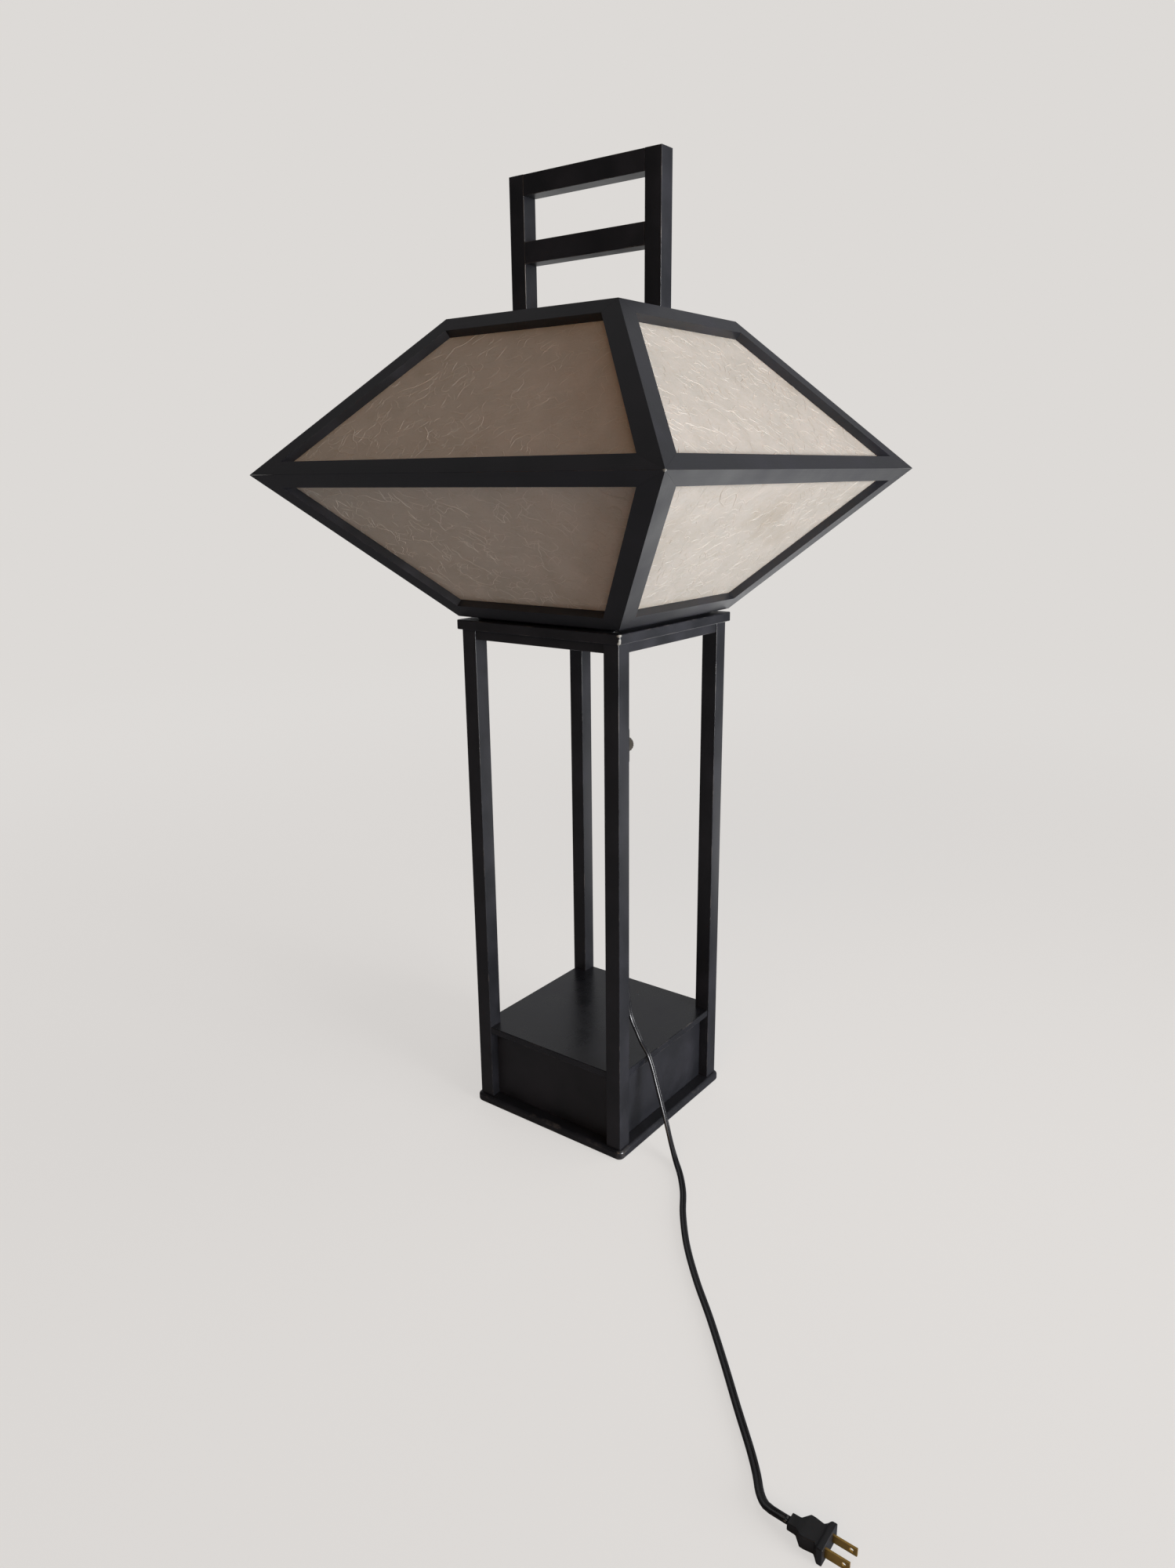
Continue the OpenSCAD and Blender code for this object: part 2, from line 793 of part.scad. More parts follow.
// Flat outline of the switch, seen from its wide side
module switch_outline(inset) {
    r = 8 - inset;
    x = switch_w / 2 - inset - r;
    z = body_l / 2 - inset - r;
    for (sx = [-1, 1], sz = [-1, 1]) translate([sx * x, sz * z]) circle(r);
    square([2 * (x + r), 2 * z], center = true);
    square([2 * x, 2 * (z + r)], center = true);
}

// Put a flat drawing at the switch, with its thickness growing along the lamp's level
module at_switch() {
    translate([outlet_x, -outlet_y, switch_z]) rotate(switch_turn) rotate([90, 0, 0]) children();
}

// One half of the switch, from the seam out, with a lower raised step
module switch_half() {
    depth = switch_t / 2;
    step = 1.8;
    seam = 0.1;
    collar_w = cord_w + 2.4;
    difference() {
        union() {
            translate([0, 0, seam]) linear_extrude(depth - step - seam) switch_outline(0);
            translate([0, 0, depth - step]) linear_extrude(step) switch_outline(1.6);
            translate([-collar_w / 2, -switch_l / 2, seam]) cube([collar_w, switch_l, cord_t / 2 + 1.3]);
        }
        translate([wheel_x, 0, -1]) cylinder(r = wheel_r + play, h = 1 + wheel_t / 2 + play);
        translate([wheel_x, 0, -1]) cylinder(r = pin_r + pin_play, h = 1 + wheel_t / 2 + pin_l + play);
        translate([-6, 0, -1]) cylinder(r = 1.6, h = far);
        translate([-6, 0, depth - 2]) cylinder(r = 3.1, h = far);
    }
}

module switch_front() {
    color(plastic) at_switch() switch_half();
}

module switch_back() {
    color(plastic) at_switch() mirror([0, 0, 1]) switch_half();
}

module switch_wheel() {
    teeth = 20;
    color([0.2, 0.18, 0.17]) at_switch() translate([wheel_x, 0, 0]) {
        difference() {
            cylinder(r = wheel_r, h = wheel_t, center = true);
            for (k = [0 : teeth - 1]) rotate(360 / teeth * k)
                translate([wheel_r + 0.25, 0, 0]) cylinder(r = 0.7, h = wheel_t + 2, center = true, $fn = 16);
        }
        cylinder(r = pin_r, h = wheel_t + 2 * pin_l, center = true);
    }
}

// One screw clamps the halves; a washer head at one side and a nut at the other
module switch_screw() {
    head = switch_t / 2 - 0.4;
    color(steel) at_switch() translate([-6, 0, 0]) {
        cylinder(r = 1.5, h = 2 * head, center = true);
        translate([0, 0, head - 1.5]) cylinder(r = 2.9, h = 1.5);
        translate([0, 0, -head]) cylinder(r = 2.9, h = 1.5, $fn = 6);
    }
}

// Put a drawing at the plug: its axis runs along +X, level with the cord's end
module at_plug() {
    translate([plug_x, plug_y, plug_t / 2]) children();
}

// The body narrows at the tail, has a waist for the fingers and a wide face
module plug_body() {
    l = plug_l;
    w = plug_w / 2;
    t = plug_t / 2;
    top = [[0, 5], [7, 5], [12, w - 3], [15, w - 3], [l - 8, w - 4], [l - 4, w], [l, w]];
    edge = [[0, 3.2], [6, 3.4], [12, t - 1.5], [l - 6, t - 1.5], [l - 4, t], [l, t]];
    color(plastic) at_plug() difference() {
        intersection() {
            linear_extrude(2 * plug_t, center = true)
                polygon(concat(top, [for (i = [len(top) - 1 : -1 : 0]) [top[i][0], -top[i][1]]]));
            rotate([90, 0, 0]) linear_extrude(2 * plug_w, center = true)
                polygon(concat(edge, [for (i = [len(edge) - 1 : -1 : 0]) [edge[i][0], -edge[i][1]]]));
        }
        blade_pair(0.05);
    }
}

// Two flat blades, one a little wider than the other
module blade_pair(grow) {
    for (s = [[1, 6.35], [-1, 7.9]])
        translate([
            plug_l - blade_in - grow,
            s[0] * blade_gap / 2 - blade_t / 2 - grow,
            -s[1] / 2 - grow
        ])
            cube([blade_in + blade_out + grow, blade_t + 2 * grow, s[1] + 2 * grow]);
}

module plug_blades() {
    color(brass) at_plug() difference() {
        blade_pair(0);
        translate([plug_l + blade_out - 4, 0, 0]) rotate([90, 0, 0])
            cylinder(r = 1.6, h = plug_w, center = true);
    }
}

base_plate();
shelf();
top_plate();
post_screws();
locating_board();
board_screws();
for (i = [0 : 3]) {
    post(i);
    foot_panel(i);
    top_rail(i);
    upper_frame(i);
    lower_frame(i);
    upper_paper(i);
    lower_paper(i);
}
bottom_cleats();
top_cleats();
handle_upright(-1);  // handle_upright_left
handle_upright(1);  // handle_upright_right
handle_grip();
handle_mid_rail();
handle_screws();
threaded_tube();
lock_nuts();
holder_cap();
holder_shell();
holder_insulator();
holder_thread();
holder_contact();
bulb_glass();
bulb_cap();
cord_bush();
inner_lead();
hanging_cord();
floor_cord();
switch_front();
switch_back();
switch_wheel();
switch_screw();
plug_body();
plug_blades();
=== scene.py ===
import math
import bmesh
import bpy
from mathutils import Matrix, Vector


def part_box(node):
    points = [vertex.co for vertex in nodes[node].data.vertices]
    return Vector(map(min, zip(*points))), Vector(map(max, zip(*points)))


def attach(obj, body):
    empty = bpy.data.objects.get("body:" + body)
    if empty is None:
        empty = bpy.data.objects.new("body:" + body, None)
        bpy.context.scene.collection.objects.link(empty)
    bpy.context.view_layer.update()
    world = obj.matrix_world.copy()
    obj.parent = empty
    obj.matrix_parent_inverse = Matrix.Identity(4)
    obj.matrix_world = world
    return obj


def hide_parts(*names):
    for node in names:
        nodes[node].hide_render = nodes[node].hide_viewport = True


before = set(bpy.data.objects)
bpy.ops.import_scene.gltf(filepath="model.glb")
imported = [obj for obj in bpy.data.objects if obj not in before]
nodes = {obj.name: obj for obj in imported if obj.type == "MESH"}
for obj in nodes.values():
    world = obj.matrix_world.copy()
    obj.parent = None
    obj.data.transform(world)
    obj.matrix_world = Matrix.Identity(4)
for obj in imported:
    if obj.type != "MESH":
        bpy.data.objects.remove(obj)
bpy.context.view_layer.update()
print("frame loaded,", len(nodes), "nodes")

sides = ["front_left", "front_right", "back_right", "back_left"]
corners = ["left", "front", "right", "back"]
waistHeight = 0.7145  # metres, where the shade's upper and lower halves meet


# the camera stands where the photograph was taken from; angles in degrees, lens in millimetres
cameraView = {"place": (0.6816, -0.9226, 0.71205), "turn": 37.0, "tilt": 16.04, "roll": -0.62,
              "lens": 33.018, "sensor": 36.0}


def makeCamera(v):
    turn, tilt, roll = (math.radians(v[k]) for k in ("turn", "tilt", "roll"))
    right = Vector((math.cos(turn), math.sin(turn), 0))
    ahead = Vector((-math.sin(turn) * math.cos(tilt), math.cos(turn) * math.cos(tilt), -math.sin(tilt)))
    up = right.cross(ahead)
    x = right * math.cos(roll) + up * math.sin(roll)
    y = up * math.cos(roll) - right * math.sin(roll)
    data = bpy.data.cameras.new("camera")
    data.sensor_fit = "HORIZONTAL"
    data.sensor_width = v["sensor"]
    data.lens = v["lens"]
    camera = bpy.data.objects.new("camera", data)
    bpy.context.scene.collection.objects.link(camera)
    camera.matrix_world = Matrix.Translation(v["place"]) @ Matrix((x, y, -ahead)).transposed().to_4x4()
    bpy.context.scene.camera = camera


makeCamera(cameraView)


def newPiece(name, mesh):
    piece = bpy.data.objects.new(name, mesh)
    bpy.context.scene.collection.objects.link(piece)
    return piece


def softNormals(mesh, limit=50):
    # each corner takes its normal from the faces round it, the large ones most,
    # so that flats stay flat and the narrow eased edges turn between them
    around = [[] for _ in mesh.vertices]
    for p in mesh.polygons:
        p.use_smooth = True
        for v in p.vertices:
            around[v].append(p)
    cut = math.cos(math.radians(limit))
    normals = []
    for p in mesh.polygons:
        for v in p.vertices:
            n = Vector()
            for q in around[v]:
                if q.normal.dot(p.normal) > cut:
                    n += q.normal * q.area
            normals.append(n.normalized() if n.length > 0 else p.normal)
    mesh.normals_split_custom_set(normals)


narrowFace = 0.0013  # metres: a narrower face is an eased edge
stickOffset = Vector((0.37, 0.11, 0.23))  # metres: each stick reads the grain at a place of its own
weldWithin = 4e-6  # metres
flatWithin = 0.5  # degrees


def markGrain(bm, shift=0.0):
    # "grain" holds a place along, across and through each separate stick, in metres,
    # and "edge" is 1 on the narrow faces of eased edges
    grain = bm.verts.layers.float_vector.new("grain")
    edge = bm.faces.layers.float.new("edge")
    seen = set()
    part = 0
    for start in bm.verts:
        if start in seen:
            continue
        stack, group = [start], []
        seen.add(start)
        while stack:
            v = stack.pop()
            group.append(v)
            for e in v.link_edges:
                w = e.other_vert(v)
                if w not in seen:
                    seen.add(w)
                    stack.append(w)
        edges = {e for v in group for e in v.link_edges}
        faces = {f for v in group for f in v.link_faces}
        along = max(edges, key=lambda e: round(e.calc_length(), 5))
        along = (along.verts[1].co - along.verts[0].co).normalized()
        face = max(faces, key=lambda f: round(f.calc_area(), 8) * (1 - abs(f.normal.dot(along))))
        through = (face.normal - along * face.normal.dot(along)).normalized()
        across = through.cross(along)
        offset = stickOffset * (part + shift)
        for v in group:
            v[grain] = Vector((v.co.dot(along), v.co.dot(across), v.co.dot(through))) + offset
        part += 1
    for f in bm.faces:
        longest = max(e.calc_length() for e in f.edges)
        f[edge] = 1.0 if f.calc_area() / longest < narrowFace else 0.0


def mergedCopy(names):
    # one closed mesh from the loose triangles of CAD nodes, flat faces made whole
    bm = bmesh.new()
    for n in names:
        bm.from_mesh(nodes[n].data)
    for layers in (bm.loops.layers.uv, bm.loops.layers.color):
        for layer in list(layers.values()):
            layers.remove(layer)
    bmesh.ops.remove_doubles(bm, verts=bm.verts, dist=weldWithin)
    bmesh.ops.dissolve_limit(bm, angle_limit=math.radians(flatWithin), verts=bm.verts, edges=bm.edges)
    return bm


def easeEdges(bm, width, ends=0.35, segments=2, sharper=25, endLength=0.3):
    # rounds the edges sharper than that angle; those across the stick's ends, which are shorter
    # than a share of its length, only by the share given as ends
    weight = bm.edges.layers.float.new("bevel_weight_edge")
    longest = max(e.calc_length() for e in bm.edges)
    for e in bm.edges:
        if e.is_manifold and e.calc_face_angle(0) > math.radians(sharper):
            e[weight] = 1.0 if e.calc_length() > endLength * longest else ends
    mesh = bpy.data.meshes.new("eased")
    bm.to_mesh(mesh)
    bm.free()
    piece = newPiece("eased", mesh)
    bevel = piece.modifiers.new("ease", "BEVEL")
    bevel.width = width
    bevel.segments = segments
    bevel.limit_method = "WEIGHT"
    bevel.use_clamp_overlap = True
    bpy.context.view_layer.update()
    seen = piece.evaluated_get(bpy.context.evaluated_depsgraph_get())
    eased = bmesh.new()
    eased.from_mesh(seen.to_mesh())
    seen.to_mesh_clear()
    bpy.data.objects.remove(piece)
    bpy.data.meshes.remove(mesh)
    return eased


def finishMesh(bm, name, shift=0.0):
    markGrain(bm, shift)
    mesh = bpy.data.meshes.new(name)
    bm.to_mesh(mesh)
    bm.free()
    return mesh


shortNames = {  # the node types used most, with their settings
    "mix": ("ShaderNodeMix", {"data_type": "RGBA"}),
    "tint": ("ShaderNodeMix", {"data_type": "RGBA", "blend_type": "MULTIPLY"}),
    "sum": ("ShaderNodeMix", {"data_type": "RGBA", "blend_type": "ADD"}),
    "range": ("ShaderNodeMapRange", {}),
    "smoothRange": ("ShaderNodeMapRange", {"interpolation_type": "SMOOTHSTEP"}),
    "moreThan": ("ShaderNodeMath", {"operation": "GREATER_THAN"}),
}
for operation in ("add", "subtract", "multiply", "divide", "minimum", "maximum", "absolute", "power"):
    shortNames[operation] = ("ShaderNodeMath", {"operation": operation.upper()})


def out(node, name=None):
    return next(s for s in node.outputs if s.enabled and name in (None, s.name))


def addNode(tree, kind, *given, **links):
    # adds a node: a dictionary given first holds its settings, other values go to its inputs in
    # their order, and links go to inputs by name, or by place as i0, i1 and so on; a node that
    # is given as a value stands for its first output
    kind, settings = shortNames.get(kind, (kind, {}))
    if given and isinstance(given[0], dict):
        settings, given = given[0], given[1:]
    node = tree.nodes.new(kind)
    for key, value in settings.items():
        setattr(node, key, value)
    targets = list(zip([s for s in node.inputs if s.enabled], given))
    for key, value in links.items():
        if key[0] == "i" and key[1:].isdigit():
            socket = node.inputs[int(key[1:])]
        else:
            socket = next(s for s in node.inputs if s.enabled and s.name.replace(" ", "") == key)
        targets.append((socket, value))
    for socket, value in targets:
        if isinstance(value, bpy.types.Node):
            value = out(value)
        if isinstance(value, bpy.types.NodeSocket):
            tree.links.new(value, socket)
        else:
            socket.default_value = value
    return node


def linear(hexText):
    # sRGB hex to the linear colour that shaders use
    parts = [int(hexText[i:i + 2], 16) / 255 for i in (1, 3, 5)]
    return tuple(c / 12.92 if c <= 0.04045 else ((c + 0.055) / 1.055) ** 2.4 for c in parts) + (1.0,)


def newMaterial(name):
    material = bpy.data.materials.new(name)
    material.use_nodes = True
    tree = material.node_tree
    tree.nodes.clear()
    return material, tree


lacquer = {
    "black": "#131418",  # carbon-black lacquer over a close-grained wood
    "bloom": "#1c1c22",  # where handling and dust have dulled it
    "worn": "#56514e",  # rubbed edges show the brown ground coat
    "primer": "#6b6963",  # chips go down to a grey primer; the painted highlight on the shelf is drawn in it too
    "bare": "#999893",  # and its palest specks
    "brushMm": 0.9,  # spacing of the brush and grain lines
    "patches": 22.0, "grit": 900.0, "rub": 38.0, "ragged": 620.0,  # waves of each pattern in a metre
    "roughness": 0.36,
}
chipsAndGlint = [  # places of small chips, of one painted highlight and of one pale streak, with their reach in metres along x, y and z
    ((0.104, -0.104, 0.5666), (0.0036, 0.0036, 0.0014)),
    ((0.1042, -0.1034, 0.5617), (0.0016, 0.0016, 0.0032)),
    ((0.1028, -0.104, 0.5592), (0.0014, 0.0014, 0.0020)),
    ((0.242, -0.242, 0.7140), (0.0026, 0.0026, 0.0016)),
    ((0.1051, 0.0638, 0.8446), (0.0020, 0.0026, 0.0012)),
    ((0.1085, 0.0600, 0.8440), (0.0008, 0.0012, 0.0008)),
    ((0.2149, -0.2058, 0.7408), (0.0010, 0.0014, 0.0008)),
    # painted highlight: a pale streak on the shelf's edge by the left post
    ((-0.0850, -0.0925, 0.1002), (0.0011, 0.0060, 0.0008)),
    ((0.1010, -0.1068, 0.0066), (0.0014, 0.0014, 0.0012)),
    # a pale streak, 8 mm long, down the front edge of the right handle upright
    ((0.0905, -0.0176, 0.9440), (0.0007, 0.0007, 0.0040)),
]


def blackLacquer(name, v, roughness, wear=0.5):
    # brushed black lacquer on planed wood: a satin skin in which fine lines run along
    # the stick, dull in patches, with a few chips, a painted highlight and a pale streak, and with edges
    # rubbed brown and smooth
    material, tree = newMaterial(name)
    place = out(addNode(tree, "ShaderNodeAttribute", {"attribute_name": "grain"}), "Vector")
    edge = out(addNode(tree, "ShaderNodeAttribute", {"attribute_name": "edge"}), "Fac")
    world = out(addNode(tree, "ShaderNodeTexCoord"), "Object")
    across = 1000 / v["brushMm"]
    lines = addNode(tree, "ShaderNodeMapping", Vector=place, Scale=(across * 0.02, across, across))
    lines = addNode(tree, "ShaderNodeTexNoise", Vector=lines, Scale=1.0, Detail=3.0, Roughness=0.6)
    patches = addNode(tree, "ShaderNodeTexNoise", Vector=place, Scale=v["patches"], Detail=4.0,
                      Roughness=0.55)
    fine = addNode(tree, "ShaderNodeTexNoise", Vector=world, Scale=v["grit"], Detail=2.0)
    colour = addNode(tree, "mix", addNode(tree, "range", patches, 0.42, 0.72), linear(v["black"]),
                     linear(v["bloom"]))
    rub = addNode(tree, "ShaderNodeTexNoise", Vector=world, Scale=v["rub"], Detail=5.0, Roughness=0.7)
    rub = addNode(tree, "multiply", addNode(tree, "range", rub, 0.62 - 0.2 * wear, 0.74 - 0.1 * wear), edge)
    colour = addNode(tree, "mix", addNode(tree, "multiply", rub, wear), colour, linear(v["worn"]))
    ragged = addNode(tree, "ShaderNodeTexNoise", Vector=world, Scale=v["ragged"], Detail=3.0,
                     Roughness=0.65)
    # pale spots: the chips, with one painted highlight on the shelf among them
    bare = None
    for spot, reach in chipsAndGlint:
        off = addNode(tree, "ShaderNodeVectorMath", {"operation": "SUBTRACT"}, i0=world, i1=spot)
        off = addNode(tree, "ShaderNodeVectorMath", {"operation": "DIVIDE"}, i0=off, i1=reach)
        far = out(addNode(tree, "ShaderNodeVectorMath", {"operation": "LENGTH"}, i0=off), "Value")
        far = addNode(tree, "add", far, addNode(tree, "multiply", ragged, 1.8))
        hit = addNode(tree, "range", far, 1.95, 1.7)
        bare = hit if bare is None else addNode(tree, "maximum", bare, hit)
    tone = addNode(tree, "range", ragged, 0.35, 0.65)
    primer = addNode(tree, "mix", tone, linear(v["primer"]), linear(v["bare"]))
    colour = addNode(tree, "mix", bare, colour, primer)
    rough = addNode(tree, "range", patches, 0.3, 0.75, roughness - 0.05, roughness + 0.09)
    rough = addNode(tree, "add", rough, addNode(tree, "multiply", lines, 0.06))
    rough = addNode(tree, "subtract", rough, addNode(tree, "multiply", edge, 0.1))
    rough = addNode(tree, "maximum", rough, addNode(tree, "multiply", bare, 0.8))
    height = addNode(tree, "add", lines, addNode(tree, "multiply", fine, 0.35))
    height = addNode(tree, "subtract", height, addNode(tree, "multiply", bare, 2.0))
    bump = addNode(tree, "ShaderNodeBump", Strength=0.35, Distance=0.00012, Height=height)
    shader = addNode(tree, "ShaderNodeBsdfPrincipled", BaseColor=colour, Roughness=rough, Normal=bump,
                     IOR=1.5)
    addNode(tree, "ShaderNodeOutputMaterial", Surface=shader)
    return material


sheetPaper = {
    "cream": "#d4d5cf",  # unbleached bast fibre under a clear varnish
    "pale": "#e0e1dc",
    "aged": "#c3bba9",  # older, browner paper; near the frames it also stands for painted shade
    "blotch": "#ab9b7c",
    "flockPale": "#eeede8", "strokePale": "#f0f0ea",  # the palest flock and strokes in it
    "stain": "#9c8f68", "glue": "#f4f2ec",
    "threadDark": "#dcd6ca", "threadPale": "#f8f5ed",  # the long fibres on its face
    "amber": "#d8ac5c",  # the tint of the light that comes through
    "cloudMm": 45, "flockMm": 3.2,
    "strokes": 95.0, "damp": 13.0, "drift": 30.0,  # waves of each pattern in a metre
    "strokeSquash": 3.2,  # how much lower than wide the strokes are
    "through": 0.57, "throughFibre": 0.46,  # share of the light that passes each face, and each fibre
    "lap": 0.006,  # how far the sheet runs behind the frame
    "rimMm": 9, "glueMm": 1.1,  # width of the browner rim, older paper with painted shade from the frames, and of the glue along the frame
}
stains = [  # small old damp marks near the top of one panel, with their reach in metres
    ((0.108, -0.0325, 0.8332), 0.0075), ((0.103, 0.0277, 0.8381), 0.0050), ((0.109, -0.0120, 0.8330), 0.0035),
]


def fromFrame(tree, world, lap):
    # how far a point of a panel is from the frame's inner edge, in metres, on any of the
    # eight panels: they are alike, so the sheet is folded onto one by absolute values
    low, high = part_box("upper_paper_front_left")
    run, rise = (-low[1]) - (-high[1]), high[2] - low[2]
    slope = math.hypot(run, rise)
    slant = math.hypot(run, slope)
    split = addNode(tree, "ShaderNodeSeparateXYZ", Vector=world)
    x, y = (addNode(tree, "absolute", out(split, k)) for k in "XY")
    aside = addNode(tree, "subtract", addNode(tree, "maximum", x, y), addNode(tree, "minimum", x, y))
    edge = addNode(tree, "multiply", addNode(tree, "subtract", aside, -low[1] - high[0]), slope / slant)
    up = addNode(tree, "absolute", addNode(tree, "subtract", out(split, "Z"), waistHeight))
    below = addNode(tree, "multiply", addNode(tree, "subtract", up, low[2] - waistHeight), slope / rise)
    above = addNode(tree, "multiply", addNode(tree, "subtract", high[2] - waistHeight, up), slope / rise)
    near = addNode(tree, "minimum", edge, addNode(tree, "minimum", below, above))
    return addNode(tree, "subtract", near, lap)


def seenThrough(tree, colour, skin, v, share):
    # varnished fibre lets part of the light through and tints it amber
    tint = addNode(tree, "tint", 1.0, colour, linear(v["amber"]))
    tint = addNode(tree, "mix", 0.5, tint, linear(v["amber"]))
    glow = addNode(tree, "ShaderNodeBsdfTranslucent", Color=tint)
    both = addNode(tree, "ShaderNodeMixShader", i0=share, i1=skin, i2=glow)
    addNode(tree, "ShaderNodeOutputMaterial", Surface=both)


def fibrePaper(name, v):
    # handmade long-fibre paper stiffened with varnish: cloudy, with short flock in it,
    # browner near the frames, partly older paper and partly painted shade, with a thin smear
    # of dried glue along them; it glows where light comes through and has a low sheen
    material, tree = newMaterial(name)
    world = out(addNode(tree, "ShaderNodeTexCoord"), "Object")
    cloud = addNode(tree, "ShaderNodeTexNoise", Vector=world, Scale=1000 / v["cloudMm"], Detail=5.0,
                    Roughness=0.6, Distortion=0.8)
    flock = addNode(tree, "ShaderNodeTexNoise", Vector=world, Scale=1000 / v["flockMm"], Detail=4.0,
                    Roughness=0.7, Distortion=2.5)
    flat = addNode(tree, "ShaderNodeMapping", Vector=world, Scale=(1, 1, v["strokeSquash"]))
    strokes = addNode(tree, "ShaderNodeTexNoise", Vector=flat, Scale=v["strokes"], Detail=4.0,
                      Roughness=0.65, Distortion=1.2)
    colour = addNode(tree, "mix", addNode(tree, "range", cloud, 0.35, 0.68), linear(v["cream"]),
                     linear(v["pale"]))
    colour = addNode(tree, "mix", addNode(tree, "range", flock, 0.52, 0.8, 0.0, 0.5), colour,
                     linear(v["aged"]))
    colour = addNode(tree, "mix", addNode(tree, "range", flock, 0.44, 0.28, 0.0, 0.45), colour,
                     linear(v["flockPale"]))
    colour = addNode(tree, "mix", addNode(tree, "range", strokes, 0.56, 0.7, 0.0, 0.35), colour,
                     linear(v["aged"]))
    colour = addNode(tree, "mix", addNode(tree, "range", strokes, 0.42, 0.3, 0.0, 0.4), colour,
                     linear(v["strokePale"]))
    damp = addNode(tree, "ShaderNodeTexNoise", Vector=world, Scale=v["damp"], Detail=3.0)
    colour = addNode(tree, "mix", addNode(tree, "range", damp, 0.6, 0.78, 0.0, 0.25), colour,
                     linear(v["blotch"]))
    for spot, reach in stains:
        far = out(addNode(tree, "ShaderNodeVectorMath", {"operation": "DISTANCE"}, i0=world, i1=spot),
                  "Value")
        far = addNode(tree, "add", addNode(tree, "divide", far, reach), strokes)
        colour = addNode(tree, "mix", addNode(tree, "range", far, 1.5, 0.6, 0.0, 0.55), colour,
                         linear(v["stain"]))
    inward = fromFrame(tree, world, v["lap"])
    # painted shade: the rim turns browner towards the frames, for the shade they cast on the paper as well as
    # for older paper there
    rim = addNode(tree, "range", addNode(tree, "add", inward, addNode(tree, "multiply", cloud, 0.006)),
                  v["rimMm"] / 1000, 0.0015)
    colour = addNode(tree, "mix", addNode(tree, "multiply", rim, 0.6), colour, linear(v["aged"]))
    smear = addNode(tree, "subtract", inward, addNode(tree, "multiply",
                                                      addNode(tree, "range", strokes, 0.45, 0.7),
                                                      0.0022))
    glue = addNode(tree, "range", smear, 0.0, -v["glueMm"] / 2000)
    glue = addNode(tree, "multiply", glue, addNode(tree, "range", cloud, 0.4, 0.55))
    colour = addNode(tree, "mix", addNode(tree, "multiply", glue, 0.8), colour, linear(v["glue"]))
    height = addNode(tree, "add", flock, addNode(tree, "multiply", strokes, 0.8))
    bump = addNode(tree, "ShaderNodeBump", Strength=0.4, Distance=0.0002, Height=height)
    skin = addNode(tree, "ShaderNodeBsdfPrincipled", BaseColor=colour, Roughness=0.5, Normal=bump, IOR=1.45)
    seenThrough(tree, colour, skin, v, v["through"])
    return material


def fibreThread(name, v):
    # the long bast fibres themselves: paler, slightly lustrous threads in the same varnish
    material, tree = newMaterial(name)
    world = out(addNode(tree, "ShaderNodeTexCoord"), "Object")
    tone = out(addNode(tree, "ShaderNodeAttribute", {"attribute_name": "paleness"}), "Fac")
    drift = addNode(tree, "ShaderNodeTexNoise", Vector=world, Scale=v["drift"], Detail=2.0)
    tone = addNode(tree, "add", tone, addNode(tree, "range", drift, 0.3, 0.7, -0.2, 0.2))
    colour = addNode(tree, "mix", tone, linear(v["threadDark"]), linear(v["threadPale"]))
    skin = addNode(tree, "ShaderNodeBsdfPrincipled", BaseColor=colour, Roughness=0.45, IOR=1.5)
    seenThrough(tree, colour, skin, v, v["throughFibre"])
    return material


waves = {  # of the smaller materials' patterns, in a metre
    "moulding": 60.0, "rings": (60.0, 60.0, 2600.0), "tarnish": 90.0, "glassDust": 70.0,
    "drawLines": (4.0, 1400.0, 1.0), "vinylDust": 50.0,
}


def moulding(name, colourHex, roughness, grainMm):
    # injection-moulded plastic: even colour, a fine spark-eroded texture that breaks the gloss
    material, tree = newMaterial(name)
    world = out(addNode(tree, "ShaderNodeTexCoord"), "Object")
    grit = addNode(tree, "ShaderNodeTexNoise", Vector=world, Scale=1000 / grainMm, Detail=2.0)
    soft = addNode(tree, "ShaderNodeTexNoise", Vector=world, Scale=waves["moulding"], Detail=3.0)
    base = linear(colourHex)
    light = tuple(min(1.0, c * 1.6 + 0.002) for c in base[:3]) + (1.0,)
    colour = addNode(tree, "mix", addNode(tree, "range", soft, 0.4, 0.75, 0.0, 0.5), base, light)
    rough = addNode(tree, "range", soft, 0.3, 0.7, roughness - 0.04, roughness + 0.07)
    bump = addNode(tree, "ShaderNodeBump", Strength=0.3, Distance=0.0001, Height=grit)
    shader = addNode(tree, "ShaderNodeBsdfPrincipled", BaseColor=colour, Roughness=rough, Normal=bump,
                     IOR=1.5)
    addNode(tree, "ShaderNodeOutputMaterial", Surface=shader)
    return material


def spunMetal(name, colourHex, roughness):
    # drawn or turned metal: fine rings round the axis stretch the highlight
    material, tree = newMaterial(name)
    world = out(addNode(tree, "ShaderNodeTexCoord"), "Object")
    rings = addNode(tree, "ShaderNodeMapping", Vector=world, Scale=waves["rings"])
    rings = addNode(tree, "ShaderNodeTexNoise", Vector=rings, Scale=1.0, Detail=2.0)
    tarnish = addNode(tree, "ShaderNodeTexNoise", Vector=world, Scale=waves["tarnish"], Detail=4.0)
    base = linear(colourHex)
    dark = tuple(c * 0.6 for c in base[:3]) + (1.0,)
    colour = addNode(tree, "mix", addNode(tree, "range", tarnish, 0.45, 0.7, 0.0, 0.7), base, dark)
    rough = addNode(tree, "add", addNode(tree, "range", tarnish, 0.3, 0.7, roughness - 0.05,
                                         roughness + 0.12), addNode(tree, "multiply", rings, 0.08))
    bump = addNode(tree, "ShaderNodeBump", Strength=0.2, Distance=0.00005, Height=rings)
    shader = addNode(tree, "ShaderNodeBsdfPrincipled", BaseColor=colour, Roughness=rough, Normal=bump,
                     Metallic=1.0)
    addNode(tree, "ShaderNodeOutputMaterial", Surface=shader)
    return material


